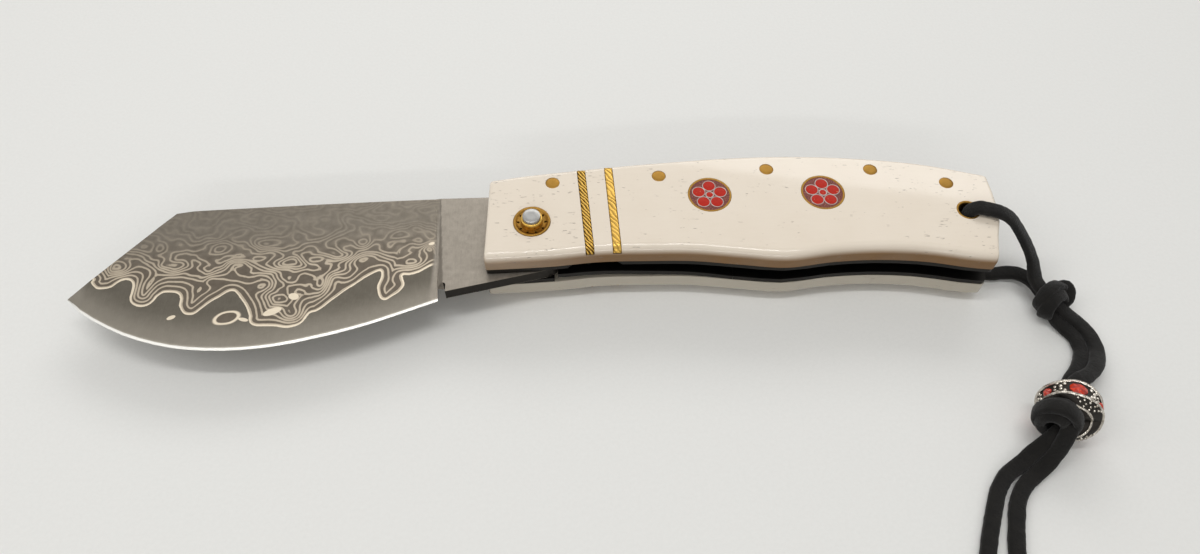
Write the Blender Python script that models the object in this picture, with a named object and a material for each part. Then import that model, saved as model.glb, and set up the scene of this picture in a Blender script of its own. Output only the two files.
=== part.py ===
"""A folding skinning knife with bone scales, a patterned steel blade and a liner lock.

The knife lies on its side with the blade open. X runs from the pivot towards the butt,
Y from the belly towards the spine and Z up. The origin is the lower end of the pivot
pin, which stands on the table. Lengths are in metres and angles in degrees.
"""

import math

import bmesh
import bpy
from mathutils import Matrix, Vector

for old in list(bpy.data.objects):
    bpy.data.objects.remove(old, do_unlink=True)


# Handle
HANDLE_LENGTH = 0.1145
HANDLE_DEPTH = 0.0301
HANDLE_THICKNESS = 0.0145
PIVOT_FROM_FRONT = 0.0101
PIVOT_ABOVE_BELLY = 0.0102
UPPER_BELLY_ROUNDING = 0.0023
LOWER_BELLY_ROUNDING = 0.0012
SPINE_ROUNDING = 0.0012
END_ROUNDING = 0.0008
# heights of the spine and the belly along the handle, and the butt's reach across it
SPINE_SHARES = (
    (0.0, 0.745), (0.065, 0.794), (0.132, 0.832), (0.22, 0.877), (0.307, 0.918),
    (0.481, 0.982), (0.612, 1.0), (0.743, 0.980), (0.874, 0.920), (1.0, 0.803),
)
BELLY_SHARES = (
    (0.0, 0.0), (0.129, 0.033), (0.219, 0.073), (0.307, 0.083), (0.399, 0.083), (0.49, 0.050),
    (0.579, 0.023), (0.669, 0.073), (0.758, 0.093), (0.848, 0.076), (0.938, 0.0195), (1.0, 0.0),
)
BUTT_SHARES = ((0.0, 0.977), (0.2, 0.984), (0.41, 0.998), (0.61, 1.003), (0.8, 1.003), (1.0, 1.0))
FACE_SHARES = (0.22, 0.44, 0.61, 0.82)
HANDLE_STATIONS = 22
ROUNDING_STEPS = 3

# Liners, washers and backspacer
LINER_THICKNESS = 0.00125
LINER_INSET = 0.0001
WASHER_THICKNESS = 0.0002
WASHER_RADIUS = 0.0045
BACKSPACER_INSET = 0.0003
BACKSPACER_FRONT_GAP = 0.0008
# the backspacer's inner line, along the handle and across it: it stays clear of the folded blade
BACKSPACER_SHARES = (
    (0.2943, 0.7102), (0.3627, 0.7488), (0.4309, 0.7846), (0.4979, 0.8017), (0.5640, 0.8049),
    (0.6288, 0.7894), (0.6919, 0.7472), (0.7533, 0.6802), (0.8125, 0.5808), (0.8694, 0.4467),
    (0.9103, 0.3179),
)
LANYARD_WALL = 0.0014
THUMB_RELIEF_RADIUS = 0.0090
THUMB_RELIEF_DEPTH = 0.0022

# Pins
PIN_RADIUS = 0.0016
STOP_PIN_BEHIND_PIVOT = 0.0043
STOP_PIN_ABOVE_PIVOT = 0.0112
PIN_SHARES = ((0.3385, 0.781), (0.557, 0.850), (0.7675, 0.848), (0.914, 0.7143))
# the pins, from the front, that stand at the backspacer's inner line
EDGE_PINS = 2
PIVOT_RADIUS = 0.0020
PIVOT_STANDOUT = 0.0022
PIVOT_CHAMFER = 0.0003
LANYARD_TUBE_RADIUS = 0.0026
LANYARD_BORE_RADIUS = 0.0021
LANYARD_HOLE_SHARES = (0.9424, 0.4508)

# Rosettes and collars round the pivot
ROSETTE_RADIUS = 0.00415
ROSETTE_SEAT_DEPTH = 0.0008
ROSETTE_STANDOUT = 0.0003
ROSETTE_RIM = 0.0005
ROSETTE_DISH = 0.0005
COLLAR_RADIUS = 0.0024
COLLAR_BELOW_PIN_END = 0.0008

# Twisted wire inlays
INLAY_SHARES = ((0.2013, 0.1815), (0.253, 0.2365))
INLAY_WIDTH = 0.0019
INLAY_DEPTH = 0.0009
INLAY_END_DEG = 24.0
GROOVE_END_DEG = 18.0

# Mosaic pins
MOSAIC_SHARES = ((0.4375, 0.598), (0.663, 0.621))
MOSAIC_RADIUS = 0.00495
MOSAIC_WALL = 0.00045
MOSAIC_BASE = 0.0006
PETAL_COUNT = 5
PETAL_RADIUS = 0.00156
PETAL_CENTRE_RADIUS = 0.00256
PETAL_BORE_RADIUS = 0.00128
HEART_BORE_RADIUS = 0.00070

# Blade
BLADE_REACH = 0.1006
BLADE_BELLY_DEPTH = 0.0286
BLADE_SPINE_HEIGHT = 0.01264
BLADE_THICKNESS = 0.0028
EDGE_THICKNESS = 0.00004
SHOULDER_THICKNESS = 0.00044
EDGE_BEVEL = 0.0009
CLIP_RUN = 0.0184
CLIP_SOFTNESS = 0.0008
PLUNGE_SLANT = 0.0030
SLANT_FADE = 0.0200
NOTCH_WIDTH = 0.0015
NOTCH_HEIGHT = 0.0038
# heights above and below the pivot, along the reach from the pivot to the tip
BLADE_SPINE_SHARES = (
    (-0.03, 1.0), (0.109, 0.939), (0.2485, 0.8846), (0.447, 0.794),
    (0.646, 0.688), (0.825, 0.5853), (1.0, 0.482),
)
BLADE_EDGE_SHARES = (
    (0.1928, -0.560), (0.2008, -0.570), (0.2485, -0.640), (0.348, -0.783), (0.447, -0.892),
    (0.547, -0.972), (0.646, -1.0), (0.7455, -0.9755), (0.845, -0.881), (0.929, -0.741),
    (0.974, -0.640), (1.0, -0.556),
)
HEEL_SHARE = 0.2008
# where the two rings of the plunge beside the notch stand, as shares of the notch's own height
PLUNGE_RING_SHARES = (1.2, 0.9)
BLADE_STATIONS = 22

# Tang and lock
TANG_RADIUS = 0.00955
TANG_SPINE_SHARES = (0.66, 0.33, 0.0)
RICASSO_DEG = 14.25
LOCK_FACE_BEHIND_PIVOT = 0.0056
LOCK_FACE_BELOW_PIVOT = 0.0032
LOCK_ARM_BELOW_PIVOT = 0.0034
LOCK_ROOT_BEHIND_PIVOT = 0.0450
LOCK_SLOT = 0.0008
LOCK_RELIEF_RADIUS = 0.0011
LOCK_TIP_CLEARANCE = 0.0007
LOCK_ENGAGEMENT = 0.00115
DETENT_RADIUS = 0.0006
DETENT_STANDOUT = 0.0002
DETENT_BEHIND_PIVOT = 0.0125
DETENT_BELOW_PIVOT = 0.0057

# Lanyard
CORD_DIAMETER = 0.0019
CORD_STEP = 0.0027
ROUTE_DIVISIONS = 24
SOCKET_LENGTH = 0.0024
KNOT_LENGTH = 0.0066
KNOT_WIDTH = 0.0098
KNOT_HEIGHT = 0.0076
KNOT_BEHIND_PIVOT = 0.1172
KNOT_BELOW_PIVOT = 0.0124
END_KNOT_LENGTH = 0.0056
END_KNOT_WIDTH = 0.0098
END_KNOT_HEIGHT = 0.0092
END_KNOT_BEHIND_PIVOT = 0.1089
END_KNOT_BELOW_PIVOT = 0.0465
BEAD_LENGTH = 0.0090
BEAD_RADIUS = 0.0064
BEAD_BORE_RADIUS = 0.0027
BEAD_BEHIND_PIVOT = 0.1122
BEAD_BELOW_PIVOT = 0.0396
BEAD_HEADING_DEG = -19.3
# half the bead's outline from its middle to its end
BEAD_OUTLINE_SHARES = (
    (0.36, 0.92), (0.43, 0.99), (0.57, 0.98), (0.76, 0.85), (0.95, 0.66), (1.0, 0.55),
)
STONE_PAIRS = 3
STONE_TURN_DEG = -5.0
BIG_STONE_RADIUS = 0.0020
SMALL_STONE_RADIUS = 0.0011
STONE_HEIGHT = 0.0011
STONE_STANDOUT = 0.0005
STONE_SHARES = ((0.0, 0.0), (0.62, 0.0), (1.0, 0.62), (0.62, 1.0), (0.0, 1.0))

UPPER_LEG_ROUTE = (
    (0.0978, 0.0034, 0.0092), (0.0978, 0.0034, 0.0132), (0.0981, 0.0033, 0.0162),
    (0.0995, 0.0030, 0.0179), (0.1016, 0.0025, 0.0180), (0.1044, 0.0017, 0.0179),
    (0.1071, 0.0009, 0.0163), (0.1096, -0.0004, 0.0136), (0.1119, -0.0023, 0.0107),
    (0.1134, -0.0044, 0.0083), (0.1139, -0.0064, 0.0067), (0.1142, -0.0082, 0.0056),
    (0.1152, -0.0102, 0.0050),
)
LOWER_LEG_ROUTE = (
    (0.0978, 0.0034, 0.0088), (0.0978, 0.0034, 0.0062), (0.0979, 0.0033, 0.0036),
    (0.0984, 0.0028, 0.0014), (0.1002, 0.0011, 0.0011), (0.1042, -0.0025, 0.0011),
    (0.1068, -0.0033, 0.0012), (0.1098, -0.0032, 0.0015), (0.1126, -0.0038, 0.0021),
    (0.1146, -0.0056, 0.0026), (0.1157, -0.0078, 0.0028), (0.1167, -0.0103, 0.0030),
)
OUTER_STRAND_ROUTE = (
    (0.1193, -0.0146, 0.0032), (0.1208, -0.0158, 0.0025), (0.1226, -0.0173, 0.0018), (0.1243, -0.0202, 0.0016),
    (0.1245, -0.0246, 0.0019), (0.1222, -0.0292, 0.0036), (0.1186, -0.0320, 0.0058),
    (0.1160, -0.0331, 0.0072), (0.1145, -0.0341, 0.0076), (0.1137, -0.0355, 0.0075),
    (0.1122, -0.0396, 0.0075), (0.1107, -0.0438, 0.0075), (0.1103, -0.0450, 0.0075),
)
INNER_STRAND_ROUTE = (
    (0.1173, -0.0144, 0.0030), (0.1180, -0.0163, 0.0020), (0.1197, -0.0182, 0.0014), (0.1214, -0.0209, 0.0013),
    (0.1216, -0.0242, 0.0013), (0.1199, -0.0278, 0.0021), (0.1172, -0.0307, 0.0036),
    (0.1153, -0.0326, 0.0049), (0.1143, -0.0340, 0.0054), (0.1137, -0.0355, 0.0055),
    (0.1122, -0.0396, 0.0055), (0.1107, -0.0438, 0.0055), (0.1103, -0.0450, 0.0055),
)
LEFT_TAIL_ROUTE = (
    (0.1060, -0.0462, 0.0036), (0.1038, -0.0471, 0.0023), (0.1010, -0.0491, 0.0014), (0.0981, -0.0520, 0.0011),
    (0.0957, -0.0556, 0.0011), (0.0936, -0.0603, 0.0011), (0.0919, -0.0648, 0.0011),
    (0.0906, -0.0690, 0.0011), (0.0896, -0.0742, 0.0011), (0.0890, -0.0796, 0.0011),
)
RIGHT_TAIL_ROUTE = (
    (0.1079, -0.0480, 0.0035), (0.1063, -0.0502, 0.0023), (0.1040, -0.0526, 0.0014), (0.1017, -0.0553, 0.0011),
    (0.0996, -0.0589, 0.0011), (0.0979, -0.0627, 0.0011), (0.0966, -0.0668, 0.0011),
    (0.0957, -0.0710, 0.0011), (0.0952, -0.0756, 0.0011), (0.0950, -0.0806, 0.0011),
)

# Gaps, cuts and facets
SEAT_GAP = 0.00005
FIT_GAP = 0.00006
FLOOR_GAP = 0.0001
OVERRUN = 0.0005
MERGE_DISTANCE = 0.000001
CREASE_DEG = 35.0
PIN_SIDES = 16
PIVOT_SIDES = 24
MOSAIC_SIDES = 20
BORE_SIDES = 10
ARC_STEPS = 6
BEAD_SIDES = 20
GEM_SIDES = 8
BALL_SIDES = 10
RELIEF_SIDES = 40
KNOT_SIDES = 12

# Layers, as distances from the middle of the knife's thickness
BLADE_HALF = BLADE_THICKNESS / 2
SLOT_HALF = BLADE_HALF + WASHER_THICKNESS + 2 * SEAT_GAP
LINER_OUTER = SLOT_HALF + LINER_THICKNESS
SCALE_INNER = LINER_OUTER + SEAT_GAP
SCALE_OUTER = HANDLE_THICKNESS / 2
MID_HEIGHT = SCALE_OUTER + PIVOT_STANDOUT

knife = bpy.data.objects.new("knife", None)
knife.location = (0, 0, MID_HEIGHT)
bpy.context.collection.objects.link(knife)


def material(name, colour, roughness, metallic=0.0):
    """A plain material of one colour."""
    made = bpy.data.materials.new(name)
    made.use_nodes = True
    shader = made.node_tree.nodes["Principled BSDF"]
    shader.inputs["Base Color"].default_value = (*colour, 1.0)
    shader.inputs["Roughness"].default_value = roughness
    shader.inputs["Metallic"].default_value = metallic
    return made


BONE = material("bone", (0.83, 0.74, 0.62), 0.25)
BLADE_STEEL = material("patterned_steel", (0.24, 0.21, 0.18), 0.4, 1.0)
LINER_STEEL = material("liner_steel", (0.12, 0.12, 0.12), 0.4, 1.0)
BRIGHT_STEEL = material("bright_steel", (0.6, 0.6, 0.6), 0.2, 1.0)
BRASS = material("brass", (0.72, 0.47, 0.10), 0.3, 1.0)
BRONZE = material("bronze", (0.55, 0.33, 0.15), 0.4, 1.0)
RESIN = material("red_resin", (0.60, 0.04, 0.02), 0.3)
SUEDE = material("black_suede", (0.012, 0.011, 0.010), 0.9)
SILVER = material("dark_silver", (0.35, 0.34, 0.33), 0.35, 1.0)
STONE = material("red_stone", (0.75, 0.03, 0.01), 0.08)


def finish(bm, name, look, parent=knife, location=(0, 0, 0)):
    """Turn a mesh under construction into a named object."""
    bmesh.ops.recalc_face_normals(bm, faces=bm.faces)
    mesh = bpy.data.meshes.new(name)
    bm.to_mesh(mesh)
    bm.free()
    mesh.shade_smooth()
    mesh.set_sharp_from_angle(angle=math.radians(CREASE_DEG))
    piece = bpy.data.objects.new(name, mesh)
    piece.data.materials.append(look)
    piece.location = location
    piece.parent = parent
    bpy.context.collection.objects.link(piece)
    return piece


def cut(piece, bm, name):
    """Take the solids of a mesh under construction out of a piece."""
    cutter = finish(bm, name, piece.data.materials[0], piece)
    cutter.hide_render = True
    cutter.display_type = "WIRE"
    modifier = piece.modifiers.new(name, "BOOLEAN")
    modifier.operation = "DIFFERENCE"
    modifier.object = cutter


def prism(outline, low, high):
    """A solid of one outline in plan, between two heights."""
    bm = bmesh.new()
    floor = bm.faces.new([bm.verts.new((x, y, low)) for x, y in outline])
    lifted = bmesh.ops.extrude_face_region(bm, geom=[floor])
    top = [part for part in lifted["geom"] if isinstance(part, bmesh.types.BMVert)]
    bmesh.ops.translate(bm, verts=top, vec=(0, 0, high - low))
    return bm


def turned(profile, sides):
    """A solid turned about Z from a profile of radius and height."""
    bm = bmesh.new()
    points = [bm.verts.new((radius, 0, height)) for radius, height in profile]
    edges = [bm.edges.new(pair) for pair in zip(points, points[1:])]
    if profile[0][0] > 0:
        edges.append(bm.edges.new((points[-1], points[0])))
    bmesh.ops.spin(
        bm, geom=points + edges, cent=(0, 0, 0), axis=(0, 0, 1),
        angle=math.tau, steps=sides, use_merge=True,
    )
    bmesh.ops.remove_doubles(bm, verts=bm.verts, dist=MERGE_DISTANCE)
    return bm


def ring(outer, inner, low, high, sides):
    """A plain tube about Z."""
    return turned(((inner, low), (outer, low), (outer, high), (inner, high)), sides)


def rods(places, radius, low, high, sides):
    """Upright cylinders of one radius at several places."""
    bm = bmesh.new()
    for x, y in places:
        bmesh.ops.create_cone(
            bm, cap_ends=True, segments=sides, radius1=radius, radius2=radius, depth=high - low,
            matrix=Matrix.Translation((x, y, (low + high) / 2)),
        )
    return bm


def arc(centre, radius, start_deg, end_deg, steps):
    """Points along an arc in plan."""
    angles = [math.radians(start_deg + (end_deg - start_deg) * k / steps) for k in range(steps + 1)]
    return [(centre[0] + radius * math.cos(a), centre[1] + radius * math.sin(a)) for a in angles]


def loft(rings):
    """A solid through closed rings of as many points each, with a flat face at both ends."""
    bm = bmesh.new()
    loops = [[bm.verts.new(point) for point in points] for points in rings]
    for first, second in zip(loops, loops[1:]):
        for i in range(len(first)):
            bm.faces.new((first[i - 1], first[i], second[i], second[i - 1]))
    bm.faces.new(loops[0])
    bm.faces.new(loops[-1])
    return bm


def smooth_profile(shares):
    """The smooth curve through a table of shares, as a function of the first share."""
    last = len(shares) - 1
    slopes = []
    for i in range(len(shares)):
        before, after = shares[max(i - 1, 0)], shares[min(i + 1, last)]
        slopes.append((after[1] - before[1]) / (after[0] - before[0]))

    def height(x):
        x = min(max(x, shares[0][0]), shares[last][0])
        i = max(k for k in range(last) if shares[k][0] <= x)
        run = shares[i + 1][0] - shares[i][0]
        t = (x - shares[i][0]) / run
        ease = t * t * (3 - 2 * t)
        return (
            shares[i][1] * (1 - ease) + shares[i + 1][1] * ease
            + run * t * (1 - t) * (slopes[i] * (1 - t) - slopes[i + 1] * t)
        )

    return height


# Handle outline
spine_share = smooth_profile(SPINE_SHARES)
belly_share = smooth_profile(BELLY_SHARES)
butt_share = smooth_profile(BUTT_SHARES)


def belly_at(x):
    """The belly's place across the handle, at a distance behind the pivot."""
    return HANDLE_DEPTH * belly_share((x + PIVOT_FROM_FRONT) / HANDLE_LENGTH) - PIVOT_ABOVE_BELLY


def spine_at(x):
    """The spine's place across the handle, at a distance behind the pivot."""
    return HANDLE_DEPTH * spine_share((x + PIVOT_FROM_FRONT) / HANDLE_LENGTH) - PIVOT_ABOVE_BELLY


def handle_place(shares):
    """A place on the handle, from its shares of the length and the depth."""
    return shares[0] * HANDLE_LENGTH - PIVOT_FROM_FRONT, shares[1] * HANDLE_DEPTH - PIVOT_ABOVE_BELLY


def handle_point(along, across, inset=0.0):
    """A point in plan: along from the front to the butt and across from belly to spine."""
    length = HANDLE_LENGTH * butt_share(across) - 2 * inset
    x = inset + along * length - PIVOT_FROM_FRONT
    low, high = belly_at(x) + inset, spine_at(x) - inset
    return x, low + across * (high - low)


def handle_stations():
    """Places along the handle, each with how far its section draws in at the rounded ends."""
    stations = []
    for step in range(ROUNDING_STEPS):
        turn = math.radians(90 * step / ROUNDING_STEPS)
        from_end = END_ROUNDING * (1 - math.cos(turn)) / HANDLE_LENGTH
        stations.append((from_end, END_ROUNDING * (1 - math.sin(turn))))
    end_share = END_ROUNDING / HANDLE_LENGTH
    middle = [
        (end_share + (1 - 2 * end_share) * k / HANDLE_STATIONS, 0.0)
        for k in range(HANDLE_STATIONS + 1)
    ]
    mirrored = [(1 - along, draw) for along, draw in reversed(stations)]
    return stations + middle + mirrored


STATIONS = handle_stations()


def handle_outline(inset):
    """The handle's outline in plan, drawn in by an inset."""

    def point(along, share, draw):
        x, low = handle_point(along, 0.0, inset)
        high = handle_point(along, 1.0, inset)[1]
        across = (draw + share * (high - low - 2 * draw)) / (high - low)
        return handle_point(along, across, inset)

    belly = [point(along, 0.0, draw) for along, draw in STATIONS]
    butt = [point(1.0, share, STATIONS[-1][1]) for share in FACE_SHARES]
    spine = [point(along, 1.0, draw) for along, draw in reversed(STATIONS)]
    return belly + butt + spine


# Pins that pass through the whole handle
stop_pin_place = (STOP_PIN_BEHIND_PIVOT, STOP_PIN_ABOVE_PIVOT)
pin_places = [handle_place(shares) for shares in PIN_SHARES]
lanyard_place = handle_place(LANYARD_HOLE_SHARES)
mosaic_places = [handle_place(shares) for shares in MOSAIC_SHARES]


def pin(name, place, radius, length, chamfer, look, sides):
    """A round pin, with a small chamfer at both ends."""
    half = length / 2
    profile = (
        (0, -half), (radius - chamfer, -half), (radius, chamfer - half),
        (radius, half - chamfer), (radius - chamfer, half), (0, half),
    )
    return finish(turned(profile, sides), name, look, location=(*place, 0))


pin("pivot_pin", (0, 0), PIVOT_RADIUS, 2 * MID_HEIGHT, PIVOT_CHAMFER, BRIGHT_STEEL, PIVOT_SIDES)
pin("stop_pin", stop_pin_place, PIN_RADIUS, HANDLE_THICKNESS, FIT_GAP, BRASS, PIN_SIDES)
for number, place in enumerate(pin_places, 1):
    pin(f"scale_pin_{number}", place, PIN_RADIUS, HANDLE_THICKNESS, FIT_GAP, BRASS, PIN_SIDES)

lanyard_tube = finish(
    ring(LANYARD_TUBE_RADIUS, LANYARD_BORE_RADIUS, -SCALE_OUTER, SCALE_OUTER, PIN_SIDES),
    "lanyard_tube", BRASS, location=(*lanyard_place, 0),
)


def drill(piece, low, high, pins=(stop_pin_place, *pin_places)):
    """Cut the pivot, pin and lanyard holes that a layer of the handle has."""
    low, high = low - OVERRUN, high + OVERRUN
    cut(piece, rods([(0, 0)], PIVOT_RADIUS + FIT_GAP, low, high, PIVOT_SIDES), f"{piece.name}_pivot_hole")
    cut(piece, rods(pins, PIN_RADIUS + FIT_GAP, low, high, PIN_SIDES), f"{piece.name}_pin_holes")
    tube = rods([lanyard_place], LANYARD_TUBE_RADIUS + FIT_GAP, low, high, PIN_SIDES)
    cut(piece, tube, f"{piece.name}_lanyard_hole")


# Scales
def face_profile(side, width, offset, end_deg):
    """Points over a scale's face from belly to spine: distance from the belly and height."""
    rounding = UPPER_BELLY_ROUNDING if side > 0 else LOWER_BELLY_ROUNDING
    points = []
    for step in range(ROUNDING_STEPS + 1):
        turn = math.radians(end_deg + (90 - end_deg) * step / ROUNDING_STEPS)
        radius = rounding + offset
        points.append((
            rounding - radius * math.cos(turn),
            SCALE_OUTER - rounding + radius * math.sin(turn),
        ))
    flat = width - rounding - SPINE_ROUNDING
    points += [(rounding + share * flat, SCALE_OUTER + offset) for share in FACE_SHARES]
    for step in range(ROUNDING_STEPS + 1):
        turn = math.radians(90 - (90 - end_deg) * step / ROUNDING_STEPS)
        radius = SPINE_ROUNDING + offset
        points.append((
            width - SPINE_ROUNDING + radius * math.cos(turn),
            SCALE_OUTER - SPINE_ROUNDING + radius * math.sin(turn),
        ))
    return points


def scale_solid(side):
    """One scale: flat on its liner, with a broad rounding at the belly."""
    bm = bmesh.new()
    rows = []
    for along, draw in STATIONS:
        low = handle_point(along, 0.0)[1]
        width = handle_point(along, 1.0)[1] - low
        outer, inner = [], []
        for across, height in face_profile(side, width, -draw, 0.0):
            x, y = handle_point(along, across / width)
            outer.append(bm.verts.new((x, y, side * height)))
            inner.append(bm.verts.new((x, y, side * SCALE_INNER)))
        rows.append((outer, inner))
    for row, following in zip(rows, rows[1:]):
        loop, next_loop = row[0] + row[1][::-1], following[0] + following[1][::-1]
        for i in range(len(loop)):
            bm.faces.new((loop[i - 1], loop[i], next_loop[i], next_loop[i - 1]))
    for outer, inner in (rows[0], rows[-1]):
        for i in range(len(outer) - 1):
            bm.faces.new((outer[i], outer[i + 1], inner[i + 1], inner[i]))
    return bm


def inlay_solid(side, shares, width, above, below, end_deg):
    """A strip across a scale's face that follows its rounding down to an angle at both ends."""
    belly_x = shares[0] * HANDLE_LENGTH - PIVOT_FROM_FRONT
    spine_x = shares[1] * HANDLE_LENGTH - PIVOT_FROM_FRONT
    low = belly_at(belly_x)
    span = spine_at(spine_x) - low
    rings = []
    over = face_profile(side, span, above, end_deg)
    under = face_profile(side, span, -below, end_deg)
    for top, bottom in zip(over, under):
        corners = []
        for (across, height), edge in ((top, -1), (top, 1), (bottom, 1), (bottom, -1)):
            x = belly_x + (spine_x - belly_x) * across / span + edge * width / 2
            corners.append((x, low + across, side * height))
        rings.append(corners)
    return loft(rings)


for side, word in ((1, "upper"), (-1, "lower")):
    scale = finish(scale_solid(side), f"{word}_scale", BONE)
    low, high = sorted((side * SCALE_INNER, side * SCALE_OUTER))
    drill(scale, low, high)
    mosaic_holes = rods(
        mosaic_places, MOSAIC_RADIUS + FIT_GAP, low - OVERRUN, high + OVERRUN, MOSAIC_SIDES
    )
    cut(scale, mosaic_holes, f"{word}_mosaic_holes")
    seat_low, seat_high = sorted(
        (side * (SCALE_OUTER - ROSETTE_SEAT_DEPTH), side * (SCALE_OUTER + OVERRUN))
    )
    seat = rods([(0, 0)], ROSETTE_RADIUS + FIT_GAP, seat_low, seat_high, PIVOT_SIDES)
    cut(scale, seat, f"{word}_rosette_seat")
    for number, shares in enumerate(INLAY_SHARES, 1):
        groove = inlay_solid(
            side, shares, INLAY_WIDTH + 2 * FIT_GAP, OVERRUN, INLAY_DEPTH + FIT_GAP, GROOVE_END_DEG
        )
        cut(scale, groove, f"{word}_groove_{number}")
        strip = inlay_solid(side, shares, INLAY_WIDTH, 0.0, INLAY_DEPTH, INLAY_END_DEG)
        finish(strip, f"{word}_inlay_{number}", BRASS)


# Rosettes and collars
def rosette_profile(side):
    """The dished rosette: a raised rim round a shallow dish that the collar stands in."""
    seat = SCALE_OUTER - ROSETTE_SEAT_DEPTH + SEAT_GAP
    top = SCALE_OUTER + ROSETTE_STANDOUT
    bore = PIVOT_RADIUS + FIT_GAP
    profile = (
        (bore, seat),
        (ROSETTE_RADIUS, seat),
        (ROSETTE_RADIUS, top - ROSETTE_RIM / 2),
        (ROSETTE_RADIUS - ROSETTE_RIM / 2, top),
        (ROSETTE_RADIUS - ROSETTE_RIM, top),
        (ROSETTE_RADIUS - 2 * ROSETTE_RIM, top - ROSETTE_DISH / 2),
        (COLLAR_RADIUS + SEAT_GAP, top - ROSETTE_DISH),
        (bore, top - ROSETTE_DISH),
    )
    return [(radius, side * height) for radius, height in profile]


for side, word in ((1, "upper"), (-1, "lower")):
    finish(turned(rosette_profile(side), PIVOT_SIDES), f"{word}_rosette", BRASS)
    dish = SCALE_OUTER + ROSETTE_STANDOUT - ROSETTE_DISH + SEAT_GAP
    collar_top = MID_HEIGHT - COLLAR_BELOW_PIN_END
    collar = ring(COLLAR_RADIUS, PIVOT_RADIUS + FIT_GAP, side * dish, side * collar_top, PIVOT_SIDES)
    finish(collar, f"{word}_collar", BRASS)


# Liners, washers and backspacer
def stop_angle():
    """The angle at which the closing ricasso meets the stop pin."""
    reach = math.hypot(*stop_pin_place)
    heading = math.atan2(STOP_PIN_ABOVE_PIVOT, STOP_PIN_BEHIND_PIVOT)
    meeting = math.acos((TANG_RADIUS + PIN_RADIUS + SEAT_GAP) / reach)
    return heading + meeting + math.radians(90 - RICASSO_DEG)


CLOSED_ANGLE = stop_angle()
backspacer_share = smooth_profile(BACKSPACER_SHARES)
blade_spine_share = smooth_profile(BLADE_SPINE_SHARES)
blade_edge_share = smooth_profile(BLADE_EDGE_SHARES)
HEEL_REACH = HEEL_SHARE * BLADE_REACH
TIP_HEIGHT = BLADE_BELLY_DEPTH * blade_edge_share(1.0)


def blade_top(reach):
    """The blade's upper outline: the spine, and past its corner the straight clip."""
    spine = BLADE_SPINE_HEIGHT * blade_spine_share(reach / BLADE_REACH)
    corner = BLADE_SPINE_HEIGHT * blade_spine_share(1 - CLIP_RUN / BLADE_REACH)
    clip = TIP_HEIGHT + (corner - TIP_HEIGHT) * (BLADE_REACH - reach) / CLIP_RUN
    return (spine + clip - math.hypot(spine - clip, CLIP_SOFTNESS)) / 2


def blade_edge(reach):
    """The blade's cutting edge."""
    return BLADE_BELLY_DEPTH * blade_edge_share(reach / BLADE_REACH)


def backspacer_outline():
    """A strip under the spine that clears the folded blade and holds the lanyard tube."""
    front = STOP_PIN_BEHIND_PIVOT + PIN_RADIUS + BACKSPACER_FRONT_GAP
    lowest = lanyard_place[1] - LANYARD_TUBE_RADIUS - LANYARD_WALL
    first, last = BACKSPACER_SHARES[0][0], BACKSPACER_SHARES[-1][0]
    inner = [(front, handle_place(BACKSPACER_SHARES[0])[1])]
    for k in range(HANDLE_STATIONS + 1):
        along = first + (last - first) * k / HANDLE_STATIONS
        inner.append(handle_place((along, backspacer_share(along))))
    outline = handle_outline(BACKSPACER_INSET)
    outer = [point for point in outline if point[0] > front and point[1] > lowest]
    crossing = max(x for x, y in outline if y <= lowest)
    return inner + [(crossing, lowest)] + outer + [(front, spine_at(front) - BACKSPACER_INSET)]


def pin_slot(place):
    """The slot of a pin that stands at the backspacer's inner line, open towards the belly."""
    radius = PIN_RADIUS + FIT_GAP
    crown = arc(place, radius, 0, 180, PIN_SIDES // 2)
    return crown + [(place[0] - radius, -PIVOT_ABOVE_BELLY), (place[0] + radius, -PIVOT_ABOVE_BELLY)]


lock_arm_angle = math.asin(
    (SLOT_HALF - BLADE_HALF + LOCK_ENGAGEMENT) / (LOCK_ROOT_BEHIND_PIVOT - LOCK_FACE_BEHIND_PIVOT)
)

for side, word in ((1, "upper"), (-1, "lower")):
    low, high = sorted((side * SLOT_HALF, side * LINER_OUTER))
    liner = finish(prism(handle_outline(LINER_INSET), low, high), f"{word}_liner", LINER_STEEL)
    drill(liner, low, high)
    washer_low, washer_high = sorted(
        (side * (BLADE_HALF + SEAT_GAP), side * (SLOT_HALF - SEAT_GAP))
    )
    washer = ring(WASHER_RADIUS, PIVOT_RADIUS + FIT_GAP, washer_low, washer_high, PIVOT_SIDES)
    finish(washer, f"{word}_washer", BRONZE)
    if side > 0:
        relief_x = LOCK_FACE_BEHIND_PIVOT + THUMB_RELIEF_RADIUS
        relief_y = belly_at(relief_x) + THUMB_RELIEF_DEPTH - THUMB_RELIEF_RADIUS
        relief = rods(
            [(relief_x, relief_y)], THUMB_RELIEF_RADIUS, low - OVERRUN, high + OVERRUN, RELIEF_SIDES
        )
        cut(liner, relief, "thumb_relief")
    else:
        window_top = LOCK_SLOT - LOCK_ARM_BELOW_PIVOT
        window_front = LOCK_FACE_BEHIND_PIVOT - LOCK_TIP_CLEARANCE
        window = (
            (window_front, -PIVOT_ABOVE_BELLY - OVERRUN),
            (LOCK_ROOT_BEHIND_PIVOT, -PIVOT_ABOVE_BELLY - OVERRUN),
            (LOCK_ROOT_BEHIND_PIVOT, window_top),
            (window_front, window_top),
        )
        cut(liner, prism(window, low - OVERRUN, high + OVERRUN), "lock_window")
        relief_place = (LOCK_ROOT_BEHIND_PIVOT - LOCK_RELIEF_RADIUS, window_top)
        relief = rods(
            [relief_place], LOCK_RELIEF_RADIUS, low - OVERRUN, high + OVERRUN, PIN_SIDES
        )
        cut(liner, relief, "lock_root_relief")

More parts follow.
